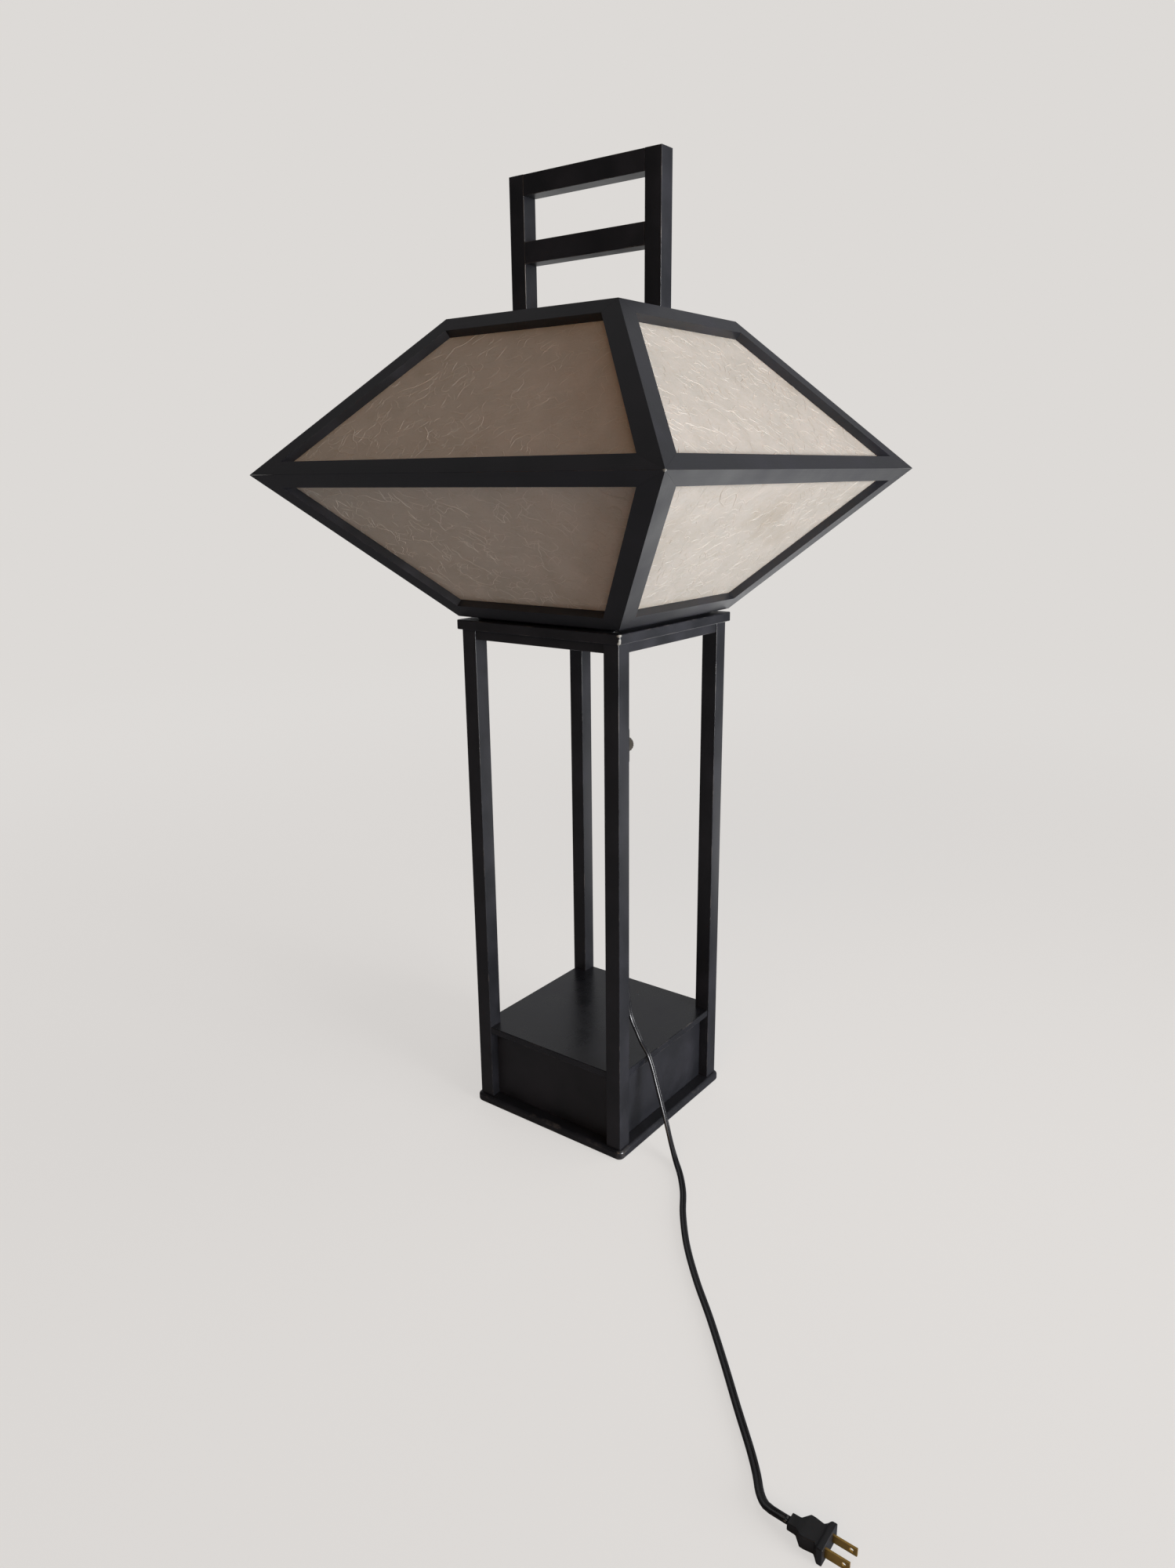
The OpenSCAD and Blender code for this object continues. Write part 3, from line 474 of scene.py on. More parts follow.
def opalGlass(name, clean, dusty):
    # bulb glass with a white silica coat inside: milky, with a glossy outside
    material, tree = newMaterial(name)
    world = out(addNode(tree, "ShaderNodeTexCoord"), "Object")
    dust = addNode(tree, "ShaderNodeTexNoise", Vector=world, Scale=waves["glassDust"], Detail=3.0)
    colour = addNode(tree, "mix", addNode(tree, "range", dust, 0.4, 0.7), linear(clean), linear(dusty))
    skin = addNode(tree, "ShaderNodeBsdfPrincipled", BaseColor=colour, Roughness=0.16, IOR=1.5)
    glow = addNode(tree, "ShaderNodeBsdfTranslucent", Color=colour)
    both = addNode(tree, "ShaderNodeMixShader", i0=0.25, i1=skin, i2=glow)
    addNode(tree, "ShaderNodeOutputMaterial", Surface=both)
    return material


def cordVinyl(name, clean, dusty):
    # extruded soft vinyl: smooth and glossy, with faint draw lines along it and dust
    material, tree = newMaterial(name)
    along = out(addNode(tree, "ShaderNodeAttribute", {"attribute_name": "along"}), "Vector")
    world = out(addNode(tree, "ShaderNodeTexCoord"), "Object")
    lines = addNode(tree, "ShaderNodeMapping", Vector=along, Scale=waves["drawLines"])
    lines = addNode(tree, "ShaderNodeTexNoise", Vector=lines, Scale=1.0, Detail=1.0)
    dust = addNode(tree, "ShaderNodeTexNoise", Vector=world, Scale=waves["vinylDust"], Detail=4.0)
    colour = addNode(tree, "mix", addNode(tree, "range", dust, 0.5, 0.75, 0.0, 0.5), linear(clean),
                     linear(dusty))
    rough = addNode(tree, "range", dust, 0.35, 0.7, 0.2, 0.3)
    bump = addNode(tree, "ShaderNodeBump", Strength=0.08, Distance=0.00005, Height=lines)
    shader = addNode(tree, "ShaderNodeBsdfPrincipled", BaseColor=colour, Roughness=rough, Normal=bump,
                     IOR=1.52)
    addNode(tree, "ShaderNodeOutputMaterial", Surface=shader)
    return material


satinLacquer = blackLacquer("blackLacquerSatin", lacquer, lacquer["roughness"])
shelfLacquer = blackLacquer("blackLacquerRubbed", lacquer, 0.25)
handleLacquer = blackLacquer("blackLacquerHandled", lacquer, 0.34, 0.85)
paperSheet = fibrePaper("varnishedFibrePaper", sheetPaper)
paperThread = fibreThread("bastFibre", sheetPaper)
blackPlastic = moulding("blackUreaMoulding", "#151516", 0.32, 0.5)
brownPlastic = moulding("brownUreaMoulding", "#3d3933", 0.38, 0.6)
plugVinyl = moulding("blackVinylMoulding", "#131417", 0.36, 0.8)
brass = spunMetal("drawnBrass", "#c9a45c", 0.3)
zincSteel = spunMetal("zincPlatedSteel", "#b8b6ae", 0.34)
capAluminium = spunMetal("pressedAluminium", "#c4c5c7", 0.3)
whiteGlass = opalGlass("opalBulbGlass", "#f2f0ea", "#e2ded4")
vinyl = cordVinyl("extrudedVinyl", "#121215", "#232326")
print("materials made")


# one length of cord from the bush, through the switch, to the plug
lampCord = {
    "width": 0.0066, "thickness": 0.0033, "girth": 0.016, "step": 0.006,
    "turnTop": 37.5, "turnSwitch": 53.0,  # degrees that its flat side is turned, at the bush and the switch
    "outlet": 0.538, "turnsWithin": 0.065,  # the bush's height, and the drop from it to the switch
    "switchEnd": 0.418, "flatFrom": 0.15, "untwist": 0.268,  # heights where it turns back, to lie flat
    "route": [
        (0.0605, -0.0464, 0.538), (0.0605, -0.0464, 0.52), (0.0605, -0.0464, 0.49),
        (0.0605, -0.0464, 0.473), (0.0605, -0.0464, 0.455), (0.0605, -0.0464, 0.436),
        (0.0605, -0.0464, 0.418), (0.0605, -0.0464, 0.4053), (0.0615, -0.0464, 0.3608),
        (0.0641, -0.0465, 0.3003), (0.0676, -0.0465, 0.2399), (0.0716, -0.0466, 0.189),
        (0.0739, -0.0466, 0.1636), (0.0779, -0.0467, 0.1413), (0.0862, -0.0468, 0.1254),
        (0.0929, -0.0469, 0.1134), (0.1, -0.047, 0.1045), (0.106, -0.047, 0.091),
        (0.113, -0.048, 0.071), (0.121, -0.05, 0.05), (0.13, -0.054, 0.031),
        (0.141, -0.0614, 0.014), (0.154, -0.0724, 0.0045), (0.169, -0.0874, 0.002),
        (0.186, -0.1094, 0.0018), (0.204, -0.1384, 0.0018), (0.23, -0.1734, 0.0018),
        (0.262, -0.2084, 0.0018), (0.296, -0.2414, 0.0018), (0.33, -0.2764, 0.0018),
        (0.362, -0.3104, 0.0018), (0.388, -0.3374, 0.0018), (0.402, -0.3534, 0.0018),
        (0.411, -0.3654, 0.0024), (0.42, -0.3734, 0.0044), (0.431, -0.3764, 0.007),
        (0.44, -0.3764, 0.007),
    ],
}


def splinePoints(route, step):
    pts = [Vector(p) for p in route]
    line = []
    for i in range(len(pts) - 1):
        a, b, c, d = pts[max(i - 1, 0)], pts[i], pts[i + 1], pts[min(i + 2, len(pts) - 1)]
        n = max(1, math.ceil((c - b).length / step))
        for k in range(n):
            t = k / n
            line.append(0.5 * (2 * b + (c - a) * t + (2 * a - 5 * b + 4 * c - d) * t * t
                               + (3 * b - a - 3 * c + d) * t ** 3))
    return line + [pts[-1]]


def twinSection(width, thickness, groove=0.66):
    # two round cores side by side, with the shallow groove where they part
    r = thickness / 2
    middle = width / 2 - r
    right = [(middle + r * math.cos(math.radians(a)), r * math.sin(math.radians(a)))
             for a in (-118, -90, -60, -30, 0, 30, 60, 90, 118)]
    top = (0.0, r * groove)
    left = [(-x, y) for x, y in reversed(right)]
    return right + [top] + left + [(0.0, -top[1])]


def makeCord(v):
    line = splinePoints(v["route"], v["step"])
    section = twinSection(v["width"], v["thickness"])
    bm = bmesh.new()
    along = bm.verts.layers.float_vector.new("along")
    rings = []
    gone = 0.0
    for i, p in enumerate(line):
        way = (line[min(i + 1, len(line) - 1)] - line[max(i - 1, 0)]).normalized()
        if i:
            gone += (p - line[i - 1]).length
        if p.z > v["switchEnd"]:
            share = min(1, (v["outlet"] - p.z) / v["turnsWithin"])
            turn = v["turnTop"] + (v["turnSwitch"] - v["turnTop"]) * share
        else:
            turn = v["turnSwitch"] * max(0.0, (p.z - v["flatFrom"]) / v["untwist"])
        drop = -way.z
        a = math.radians(turn)
        ref = Vector((drop * math.cos(a), -drop * math.sin(a), 1 - abs(drop)))
        wide = ref.cross(way).normalized()
        high = way.cross(wide).normalized()
        ring = []
        for k, (x, y) in enumerate(section):
            vert = bm.verts.new(p + wide * x + high * y)
            vert[along] = Vector((gone, k / len(section) * v["girth"], 0))
            ring.append(vert)
        rings.append(ring)
    n = len(section)
    for a, b in zip(rings, rings[1:]):
        for k in range(n):
            bm.faces.new((a[k], a[(k + 1) % n], b[(k + 1) % n], b[k]))
    bm.faces.new(list(reversed(rings[0])))
    bm.faces.new(rings[-1])
    bmesh.ops.recalc_face_normals(bm, faces=bm.faces)
    mesh = bpy.data.meshes.new("lampCord")
    bm.to_mesh(mesh)
    bm.free()
    for p in mesh.polygons:
        p.use_smooth = len(p.vertices) == 4
    mesh.materials.append(vinyl)
    length = sum((b - a).length for a, b in zip(line, line[1:]))
    return newPiece("lampCord", mesh), line, length


cord, cordLine, cordLength = makeCord(lampCord)
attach(cord, "stand")
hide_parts("hanging_cord", "floor_cord")
print("cord made, %.3f m" % cordLength)


def dress(name, node, body, material, ease=0.0, ends=0.35, segments=2, shift=0.0):
    # a finished copy of one CAD node, with eased edges and grain
    bm = mergedCopy([node])
    if ease:
        bm = easeEdges(bm, ease, ends, segments)
    mesh = finishMesh(bm, name, shift)
    softNormals(mesh)
    mesh.materials.append(material)
    piece = newPiece(name, mesh)
    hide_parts(node)
    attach(piece, body)
    return piece


easing = {"rail": 0.0006, "cleat": 0.0006, "handle": 0.0006, "frame": 0.0005, "mould": 0.0007,
          "plug": 0.0012}  # width of the eased edges, in metres
dress("basePlate", "base_plate", "stand", satinLacquer)
dress("shelfBoard", "shelf", "stand", shelfLacquer, shift=3)
dress("topPlate", "top_plate", "stand", satinLacquer, shift=5)
dress("locatingBoard", "locating_board", "stand", satinLacquer, shift=7)
dress("bottomCleats", "bottom_cleats", "shade", satinLacquer, easing["cleat"], shift=9)
dress("topCleats", "top_cleats", "shade", satinLacquer, shift=11)
dress("handleUprightLeft", "handle_upright_left", "shade", handleLacquer, shift=15)
dress("handleUprightRight", "handle_upright_right", "shade", handleLacquer, shift=16)
dress("handleGrip", "handle_grip", "shade", handleLacquer, easing["handle"], shift=17)
dress("handleMidRail", "handle_mid_rail", "shade", handleLacquer, easing["handle"], shift=18)
print("single wood pieces dressed")


def groupInput(tree, name, kind, default=None):
    socket = tree.interface.new_socket(name=name, in_out="INPUT", socket_type=kind)
    if default is not None:
        socket.default_value = default
    return socket.identifier


def roundTheLamp():
    # sets a copy of the mesh on each of the four sides, and a mirrored one below the
    # waist where Mirror is on; Grain Step moves the grain on from copy to copy
    tree = bpy.data.node_groups.new("roundTheLamp", "GeometryNodeTree")
    tree.interface.new_socket(name="Geometry", in_out="INPUT", socket_type="NodeSocketGeometry")
    names = {
        "count": groupInput(tree, "Count", "NodeSocketInt", 4),
        "mirror": groupInput(tree, "Mirror", "NodeSocketBool", False),
        "waist": groupInput(tree, "Waist Height", "NodeSocketFloat", waistHeight),
        "grain": groupInput(tree, "Grain Step", "NodeSocketFloat", 1.7),
        "material": groupInput(tree, "Material", "NodeSocketMaterial"),
    }
    tree.interface.new_socket(name="Geometry", in_out="OUTPUT", socket_type="NodeSocketGeometry")
    given = addNode(tree, "NodeGroupInput")
    shape = given.outputs["Geometry"]
    heightTwice = addNode(tree, "multiply", given.outputs["Waist Height"], 2.0)
    lift = addNode(tree, "ShaderNodeCombineXYZ", Z=heightTwice)
    below = out(addNode(tree, "GeometryNodeTransform", Geometry=shape, Translation=lift, Scale=(1, 1, -1)))
    below = out(addNode(tree, "GeometryNodeFlipFaces", Mesh=below))
    pair = addNode(tree, "GeometryNodeJoinGeometry")
    tree.links.new(shape, pair.inputs[0])
    tree.links.new(below, pair.inputs[0])
    chosen = addNode(tree, "GeometryNodeSwitch", {"input_type": "GEOMETRY"},
                     Switch=given.outputs["Mirror"], **{"False": shape, "True": out(pair)})
    points = addNode(tree, "GeometryNodePoints", Count=given.outputs["Count"])
    index = addNode(tree, "GeometryNodeInputIndex")
    turn = addNode(tree, "multiply", index, addNode(tree, "divide", 2 * math.pi, given.outputs["Count"]))
    angles = addNode(tree, "ShaderNodeCombineXYZ", Z=turn)
    spin = addNode(tree, "FunctionNodeEulerToRotation", Euler=angles)
    step = addNode(tree, "multiply", index, given.outputs["Grain Step"])
    points = addNode(tree, "GeometryNodeStoreNamedAttribute", {"data_type": "FLOAT", "domain": "POINT"},
                     Geometry=points, Name="copyStep", Value=step)
    copies = addNode(tree, "GeometryNodeInstanceOnPoints", Points=points, Instance=chosen, Rotation=spin)
    solid = addNode(tree, "GeometryNodeRealizeInstances", Geometry=copies)
    grain = out(addNode(tree, "GeometryNodeInputNamedAttribute", {"data_type": "FLOAT_VECTOR"},
                        Name="grain"), "Attribute")
    moved = out(addNode(tree, "GeometryNodeInputNamedAttribute", {"data_type": "FLOAT"},
                        Name="copyStep"), "Attribute")
    grain = addNode(tree, "ShaderNodeVectorMath", {"operation": "ADD"}, i0=grain, i1=moved)
    solid = addNode(tree, "GeometryNodeStoreNamedAttribute",
                    {"data_type": "FLOAT_VECTOR", "domain": "POINT"}, Geometry=solid, Name="grain",
                    Value=grain)
    solid = addNode(tree, "GeometryNodeSetMaterial", Geometry=solid, Material=given.outputs["Material"])
    addNode(tree, "NodeGroupOutput", Geometry=solid)
    return tree, names


aroundTree, aroundNames = roundTheLamp()


def bakeNodes(piece):
    # the evaluated result as a plain mesh, and the modifier gone
    bpy.context.view_layer.update()
    seen = piece.evaluated_get(bpy.context.evaluated_depsgraph_get())
    mesh = bpy.data.meshes.new_from_object(seen)
    mesh.name = piece.name
    piece.modifiers.clear()
    piece.data = mesh
    return mesh


def repeatRound(name, node, replaced, body, material, ease=0.0, mirror=False, shift=0.0):
    # one finished piece from the CAD node of one side, repeated on the others
    bm = mergedCopy([node])
    if ease:
        bm = easeEdges(bm, ease)
    piece = newPiece(name, finishMesh(bm, name, shift))
    modifier = piece.modifiers.new("round", "NODES")
    modifier.node_group = aroundTree
    for key, value in (("count", 4), ("mirror", mirror), ("waist", waistHeight), ("material", material)):
        modifier[aroundNames[key]] = value
    mesh = bakeNodes(piece)
    softNormals(mesh)
    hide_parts(*replaced)
    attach(piece, body)


repeatRound("posts", "post_left", ["post_" + c for c in corners], "stand", satinLacquer, shift=20)
repeatRound("footPanels", "foot_panel_front_left", ["foot_panel_" + s for s in sides], "stand",
            satinLacquer, easing["rail"], shift=25)
repeatRound("topRails", "top_rail_front_left", ["top_rail_" + s for s in sides], "stand", satinLacquer,
            easing["rail"], shift=30)
repeatRound("shadeFrames", "upper_frame_front_left",
            [half + "_frame_" + s for half in ("upper", "lower") for s in sides],
            "shade", satinLacquer, easing["frame"], mirror=True, shift=40)
print("repeated wood pieces made")


# the fibres that show on the face of the paper: many fine curled ones and fewer bold ones;
# lengths in metres, curls per metre, spread from the level in radians
fineFibres = {"perSquareMetre": 9000.0, "long": 0.022, "thick": 0.00022, "wiggle": 0.0040, "curl": 90.0,
              "spread": 1.2, "steps": 6, "seed": 7}
boldFibres = {"perSquareMetre": 240.0, "long": 0.050, "thick": 0.00037, "wiggle": 0.0045, "curl": 45.0,
              "spread": 0.8, "steps": 14, "seed": 21}
bends = (-0.55, 0.3, -0.15, 0.8, 0.05)  # how far the middle of each kind of fibre bulges, of its length
draws = {"own": 11, "paleness": 13, "angle": 3, "kind": 5, "size": 9}  # the seed of each random draw
offSheet = 0.0003  # metres: what drifts further from the paper is cut away
thinEnd = 0.3  # share of its thickness that a fibre keeps at its ends


def paperFaces():
    # the outer faces of the eight paper panels, as the ground that the fibres lie on
    bm = bmesh.new()
    for half in ("upper", "lower"):
        for s in sides:
            part = mergedCopy([half + "_paper_" + s])
            centre = Vector((0, 0, waistHeight))
            flat = sorted(part.faces, key=lambda f: -f.calc_area())[:2]
            face = max(flat, key=lambda f: f.normal.dot(f.calc_center_median() - centre))
            bm.faces.new([bm.verts.new(v.co) for v in face.verts])
            part.free()
    mesh = bpy.data.meshes.new("paperFaces")
    bm.to_mesh(mesh)
    bm.free()
    return mesh


def fibreField():
    # threads scattered over the sheets, mostly level, each with its own bends
    tree = bpy.data.node_groups.new("fibreField", "GeometryNodeTree")
    tree.interface.new_socket(name="Geometry", in_out="INPUT", socket_type="NodeSocketGeometry")
    names = {
        "perSquareMetre": groupInput(tree, "Fibres per Square Metre", "NodeSocketFloat", 2000.0),
        "long": groupInput(tree, "Fibre Length", "NodeSocketFloat", 0.04),
        "thick": groupInput(tree, "Fibre Radius", "NodeSocketFloat", 0.0002),
        "wiggle": groupInput(tree, "Wiggle", "NodeSocketFloat", 0.003),
        "curl": groupInput(tree, "Curls per Metre", "NodeSocketFloat", 60.0),
        "spread": groupInput(tree, "Spread from Level", "NodeSocketFloat", 0.9),
        "steps": groupInput(tree, "Steps", "NodeSocketInt", 8),
        "seed": groupInput(tree, "Seed", "NodeSocketInt", 7),
        "material": groupInput(tree, "Material", "NodeSocketMaterial"),
    }
    tree.interface.new_socket(name="Geometry", in_out="OUTPUT", socket_type="NodeSocketGeometry")
    given = addNode(tree, "NodeGroupInput")
    paper = given.outputs["Geometry"]
    scatter = addNode(tree, "GeometryNodeDistributePointsOnFaces", {"distribute_method": "RANDOM"},
                      Mesh=paper, Density=given.outputs["Fibres per Square Metre"],
                      Seed=given.outputs["Seed"])
    normal = out(scatter, "Normal")
    own = addNode(tree, "FunctionNodeRandomValue", {"data_type": "FLOAT_VECTOR"}, Min=(-9, -9, -9),
                  Max=(9, 9, 9), Seed=draws["own"])
    pale = addNode(tree, "FunctionNodeRandomValue", {"data_type": "FLOAT"}, Min=0.0, Max=1.0,
                   Seed=draws["paleness"])
    points = out(scatter, "Points")
    for name, kind, value in (("facing", "FLOAT_VECTOR", normal), ("own", "FLOAT_VECTOR", own),
                              ("paleness", "FLOAT", pale)):
        points = addNode(tree, "GeometryNodeStoreNamedAttribute",
                         {"data_type": kind, "domain": "POINT"}, Geometry=points, Name=name,
                         Value=value)
    kinds = addNode(tree, "GeometryNodeJoinGeometry")
    for bend in bends:
        arc = addNode(tree, "GeometryNodeCurveQuadraticBezier", Resolution=given.outputs["Steps"],
                      Start=(-0.5, 0, 0), Middle=(0.0, bend, 0), End=(0.5, 0, 0))
        tree.links.new(out(addNode(tree, "GeometryNodeGeometryToInstance", Geometry=arc)), kinds.inputs[0])
    level = addNode(tree, "ShaderNodeVectorMath", {"operation": "CROSS_PRODUCT"}, i0=(0, 0, 1), i1=normal)
    flat = addNode(tree, "FunctionNodeAlignRotationToVector", {"axis": "X"}, Vector=level)
    flat = addNode(tree, "FunctionNodeAlignRotationToVector", {"axis": "Z", "pivot_axis": "X"},
                   Rotation=flat, Vector=normal)
    angle = addNode(tree, "FunctionNodeRandomValue", {"data_type": "FLOAT"}, Min=-1.0, Max=1.0,
                    Seed=draws["angle"])
    angle = addNode(tree, "multiply", angle, given.outputs["Spread from Level"])
    around = addNode(tree, "FunctionNodeAxisAngleToRotation", Axis=(0, 0, 1), Angle=angle)
    spin = addNode(tree, "FunctionNodeRotateRotation", {"rotation_space": "LOCAL"}, Rotation=flat,
                   RotateBy=around)
    kind = addNode(tree, "FunctionNodeRandomValue", {"data_type": "INT"}, i4=0, i5=len(bends) - 1,
                   Seed=draws["kind"])
    size = addNode(tree, "FunctionNodeRandomValue", {"data_type": "FLOAT"}, Min=0.3, Max=1.0,
                   Seed=draws["size"])
    size = addNode(tree, "multiply", size, given.outputs["Fibre Length"])
    laid = addNode(tree, "GeometryNodeInstanceOnPoints", Points=points, Instance=kinds,
                   PickInstance=True, InstanceIndex=kind, Rotation=spin, Scale=size)
    curves = addNode(tree, "GeometryNodeRealizeInstances", Geometry=laid)
    place = addNode(tree, "GeometryNodeInputPosition")
    own, facing = (out(addNode(tree, "GeometryNodeInputNamedAttribute", {"data_type": "FLOAT_VECTOR"},
                               Name=k), "Attribute") for k in ("own", "facing"))
    place = addNode(tree, "ShaderNodeVectorMath", {"operation": "ADD"}, i0=place, i1=own)
    drift = out(addNode(tree, "ShaderNodeTexNoise", Vector=place,
                        Scale=given.outputs["Curls per Metre"], Detail=1.0), "Color")
    drift = addNode(tree, "ShaderNodeVectorMath", {"operation": "SUBTRACT"}, i0=drift, i1=(0.5, 0.5, 0.5))
    inPlane = addNode(tree, "ShaderNodeVectorMath", {"operation": "CROSS_PRODUCT"}, i0=drift, i1=facing)
    inPlane = addNode(tree, "ShaderNodeVectorMath", {"operation": "SCALE"}, i0=inPlane,
                      Scale=addNode(tree, "multiply", given.outputs["Wiggle"], 4.0))
    curves = addNode(tree, "GeometryNodeSetPosition", Geometry=curves, Offset=inPlane)
    near = out(addNode(tree, "GeometryNodeProximity", {"target_element": "FACES"}, i0=paper), "Distance")
    off = addNode(tree, "moreThan", near, offSheet)
    curves = addNode(tree, "GeometryNodeDeleteGeometry", {"domain": "POINT"}, Geometry=curves,
                     Selection=off)
    # the ends run out thin
    share = out(addNode(tree, "GeometryNodeSplineParameter"), "Factor")
    taper = addNode(tree, "absolute", addNode(tree, "subtract", addNode(tree, "multiply", share, 2.0), 1.0))
    taper = addNode(tree, "range", addNode(tree, "power", taper, 3.0), 0.0, 1.0, 1.0, thinEnd)
    ring = addNode(tree, "GeometryNodeCurvePrimitiveCircle", Resolution=3,
                   Radius=given.outputs["Fibre Radius"])
    threads = addNode(tree, "GeometryNodeCurveToMesh", Curve=curves, ProfileCurve=ring, Scale=taper,
                      FillCaps=True)
    threads = addNode(tree, "GeometryNodeSetShadeSmooth", i0=threads)
    threads = addNode(tree, "GeometryNodeRealizeInstances", Geometry=threads)
    threads = addNode(tree, "GeometryNodeSetMaterial", Geometry=threads, Material=given.outputs["Material"])
    addNode(tree, "NodeGroupOutput", Geometry=threads)
    return tree, names


fibreTree, fibreNames = fibreField()


def layFibres(name, v):
    piece = newPiece(name, paperFaces())
    modifier = piece.modifiers.new("fibres", "NODES")
    modifier.node_group = fibreTree
    for key, socket in fibreNames.items():
        modifier[socket] = paperThread if key == "material" else v[key]
    mesh = bakeNodes(piece)
    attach(piece, "shade")
    mesh.validate()
    print(name, "laid,", len(mesh.polygons), "faces")


layFibres("fineFibres", fineFibres)
layFibres("boldFibres", boldFibres)


def paint(names, material):
    # CAD nodes that keep their own shape get their finish here
    for n in names:
        for s in nodes[n].material_slots:
            s.material = material


paint([half + "_paper_" + s for half in ("upper", "lower") for s in sides], paperSheet)
paint(["post_screws", "board_screws", "handle_screws", "lock_nuts", "switch_screw"], zincSteel)
paint(["threaded_tube", "holder_cap", "holder_shell", "holder_thread", "holder_contact", "plug_blades"],
      brass)
paint(["bulb_cap"], capAluminium)
paint(["bulb_glass"], whiteGlass)
paint(["inner_lead"], vinyl)
paint(["cord_bush", "holder_insulator"], blackPlastic)
paint(["switch_wheel"], brownPlastic)

switchFront = dress("switchFront", "switch_front", "stand", blackPlastic, easing["mould"],
                    ends=1.0, segments=3)
switchBack = dress("switchBack", "switch_back", "stand", blackPlastic, easing["mould"],
                   ends=1.0, segments=3)
plug = dress("plugBody", "plug_body", "stand", plugVinyl, easing["plug"], ends=1.0,
             segments=3)

print("fittings dressed")


room = {
    "floor": "#d8d5d1",  # painted floor
    "back": "#dddad7",  # what the camera sees behind the lamp
    "reach": 40.0, "below": 0.0002,  # metres: the floor's radius, and how far it lies under the lamp
    "nearTo": 0.7, "farFrom": 3.5,  # metres from the lamp between which floor turns into backdrop
    "nearShare": 0.62, "nearGlow": "#f6f4f2",  # how much of the near floor shows as plain pale ground
    "dimmed": "#8d9097",  # painted shade: the floor's paint, darker as gloss shows it, so that the near floor reflects dark
    "mirrored": 1.6, "mirroredFar": 0.27,  # painted reflection: brightness of a glow on the ground behind that only gloss sees, and its far share
    "glowStarts": (0.4, 1.0), "glowFades": (1.2, 2.0),  # metres behind the lamp, for that brightness
    "glowAside": (0.3, 0.9), "asideShare": 0.2,  # metres to the right, and the share that is left there
}
lightPatches = {  # broad soft patches of light all round: the way to the middle of each, the
    # cosine at which it ends, its colour and its strength
    "aboveBehind": ((0.05, 0.75, 0.65), 0.5, "#f4f4f6", 0.06),
    "backLeft": ((-0.55, 0.7, 0.45), 0.6, "#f4f4f6", 0.34),
    "frontLeft": ((-0.6, -0.8, 0.0), 0.3, "#dfe3ec", 0.02),
    "right": ((1.0, -0.1, 0.1), 0.2, "#f4f4f6", 0.56),
    "around": ((0.0, 0.0, 1.0), -9.0, "#eceef6", 0.05),
}
lamps = {
    "windowLamp": {"place": (3.4, -0.11, 0.5), "target": (0.15, 0.0, 0.66), "size": 1.8, "spread": 64.0,
                   "watts": 42.5, "colour": "#f9fafc"},
    "highSun": {"toward": (0.45, 0.35, 0.82), "angle": 35.0, "strength": 0.32, "colour": "#fffdf9"},
    "warmFill": {"toward": (0.3, -0.8, 0.5), "angle": 40.0, "strength": 0.65, "colour": "#ffd3a4"},
}


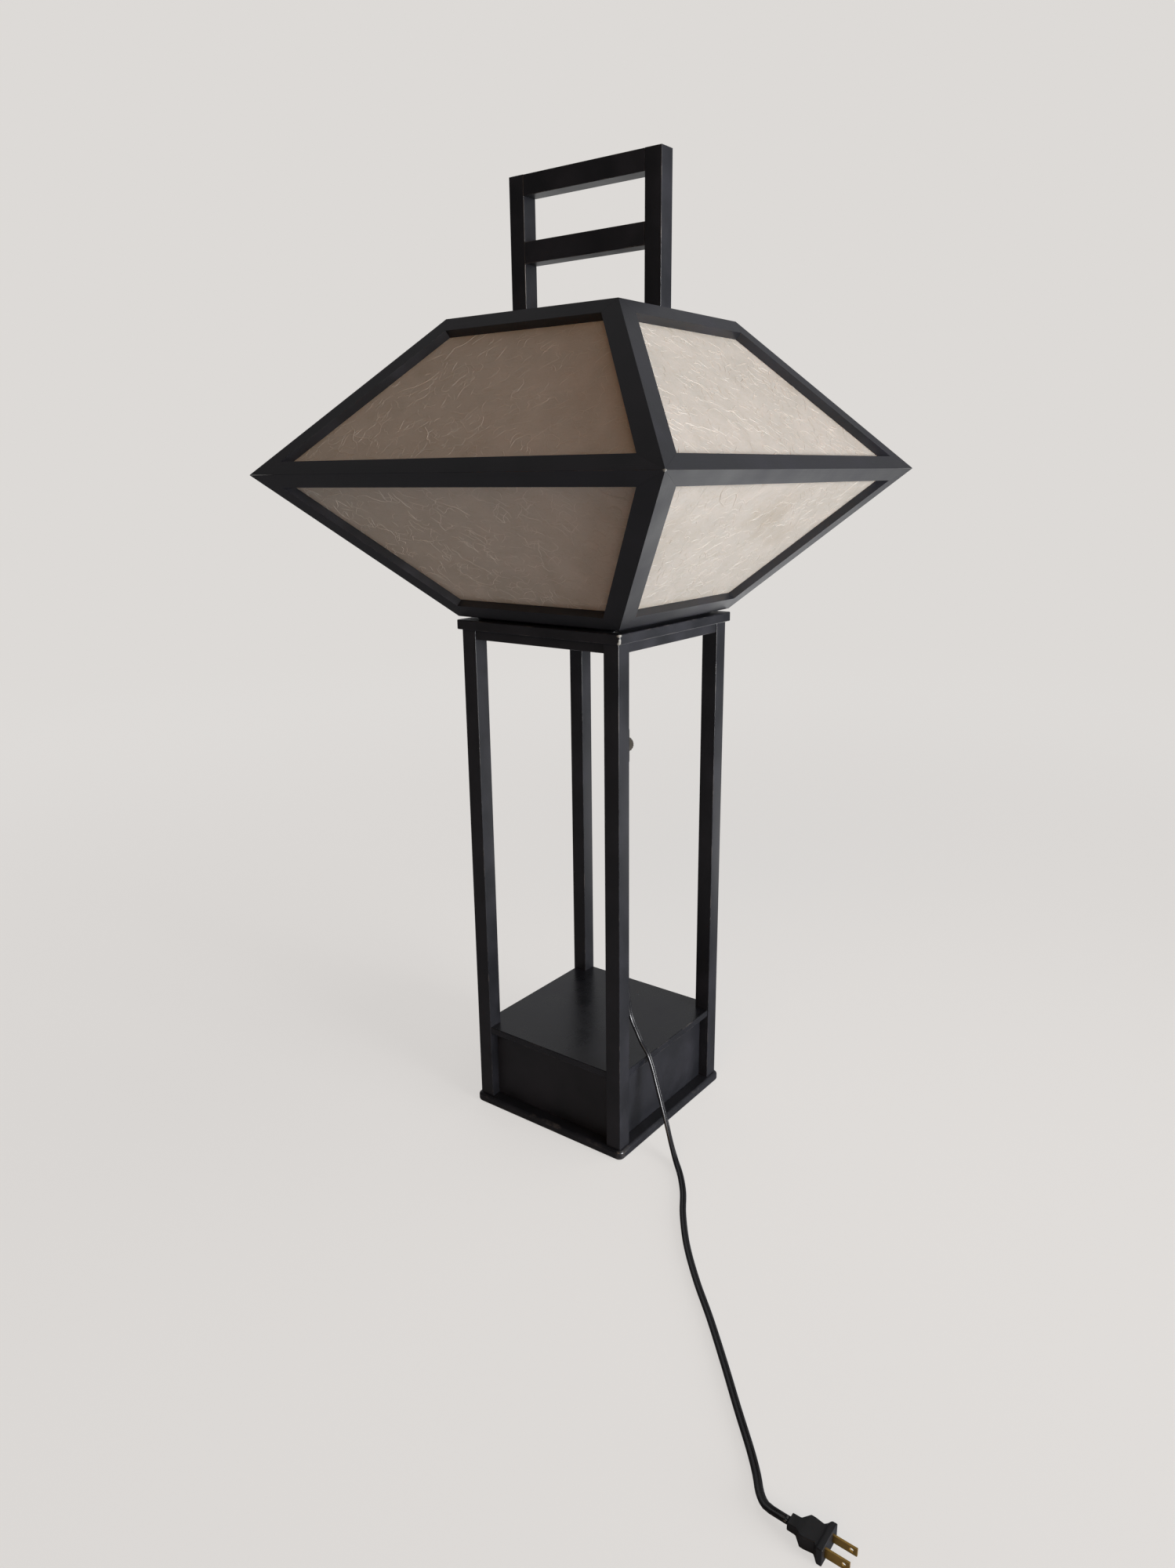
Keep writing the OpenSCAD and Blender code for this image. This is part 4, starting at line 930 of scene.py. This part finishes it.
def makeFloor(v):
    bm = bmesh.new()
    bmesh.ops.create_circle(bm, cap_ends=True, segments=96, radius=v["reach"])
    mesh = bpy.data.meshes.new("floor")
    bm.to_mesh(mesh)
    bm.free()
    floor = newPiece("floor", mesh)
    floor.location = (0, 0, -v["below"])
    material, tree = newMaterial("paintedFloor")
    place = out(addNode(tree, "ShaderNodeTexCoord"), "Object")
    away = out(addNode(tree, "ShaderNodeVectorMath", {"operation": "LENGTH"}, i0=place), "Value")
    far = addNode(tree, "smoothRange", away, v["nearTo"], v["farFrom"])
    path = addNode(tree, "ShaderNodeLightPath")
    camera, glossy = out(path, "Is Camera Ray"), out(path, "Is Glossy Ray")
    seen = addNode(tree, "multiply", camera, addNode(tree, "range", far, 0.0, 1.0, v["nearShare"], 1.0))
    split = addNode(tree, "ShaderNodeSeparateXYZ", Vector=place)
    behind, aside = out(split, "Y"), out(split, "X")
    # painted reflection: gloss sees the near floor in a darker paint, and a glow on the ground behind the
    # lamp that only gloss sees
    mirrored = addNode(tree, "multiply", glossy, addNode(tree, "smoothRange", behind, *v["glowStarts"]))
    paint = addNode(tree, "mix", glossy, linear(v["floor"]), linear(v["dimmed"]))
    paint = addNode(tree, "ShaderNodeBsdfPrincipled", BaseColor=paint, Roughness=0.7)
    ground = addNode(tree, "mix", far, linear(v["nearGlow"]), linear(v["back"]))
    ground = addNode(tree, "mix", glossy, ground, linear("#ffffff"))
    bright = addNode(tree, "smoothRange", behind, *v["glowFades"], v["mirrored"],
                     v["mirrored"] * v["mirroredFar"])
    bright = addNode(tree, "multiply", bright, addNode(tree, "smoothRange", aside, *v["glowAside"], 1.0,
                                                       v["asideShare"]))
    glow = addNode(tree, "ShaderNodeEmission", Color=ground,
                   Strength=addNode(tree, "range", glossy, 0.0, 1.0, 1.0, bright))
    both = addNode(tree, "ShaderNodeMixShader", i0=addNode(tree, "add", seen, mirrored), i1=paint, i2=glow)
    addNode(tree, "ShaderNodeOutputMaterial", Surface=both)
    mesh.materials.append(material)


def makeWorld(back, patches):
    # the room's light is the sum of its patches; the camera sees the plain backdrop instead
    world = bpy.data.worlds.new("room")
    bpy.context.scene.world = world
    world.use_nodes = True
    tree = world.node_tree
    tree.nodes.clear()
    way = out(addNode(tree, "ShaderNodeTexCoord"), "Generated")
    total = None
    for toward, end, colour, strength in patches.values():
        toward = Vector(toward).normalized()
        facing = addNode(tree, "ShaderNodeVectorMath", {"operation": "DOT_PRODUCT"}, i0=way, i1=toward)
        share = addNode(tree, "smoothRange", out(facing, "Value"), end, 1.0)
        bright = tuple(c * strength for c in linear(colour)[:3]) + (1.0,)
        patch = addNode(tree, "mix", share, (0, 0, 0, 1), bright)
        total = patch if total is None else addNode(tree, "sum", 1.0, total, patch)
    light = addNode(tree, "ShaderNodeBackground", Color=total, Strength=1.0)
    seen = addNode(tree, "ShaderNodeBackground", Color=linear(back), Strength=1.0)
    camera = out(addNode(tree, "ShaderNodeLightPath"), "Is Camera Ray")
    both = addNode(tree, "ShaderNodeMixShader", i0=camera, i1=light, i2=seen)
    addNode(tree, "ShaderNodeOutputWorld", Surface=both)


def addLamp(name, v):
    # a disc lamp where a place is given, else a broad sun, which lights the whole floor alike
    data = bpy.data.lights.new(name, "AREA" if "place" in v else "SUN")
    data.color = linear(v["colour"])[:3]
    lamp = bpy.data.objects.new(name, data)
    bpy.context.scene.collection.objects.link(lamp)
    if "place" in v:
        data.shape = "DISK"
        data.size = v["size"]
        data.energy = v["watts"]
        data.spread = math.radians(v["spread"])
        lamp.location = v["place"]
        way = Vector(v["target"]) - Vector(v["place"])
    else:
        data.angle = math.radians(v["angle"])
        data.energy = v["strength"]
        way = -Vector(v["toward"])
    lamp.rotation_euler = way.to_track_quat("-Z", "Y").to_euler()
    lamp.visible_camera = False


makeFloor(room)
makeWorld(room["back"], lightPatches)
for name, values in lamps.items():
    addLamp(name, values)
bpy.context.scene.view_settings.view_transform = "Standard"
print("room lit")
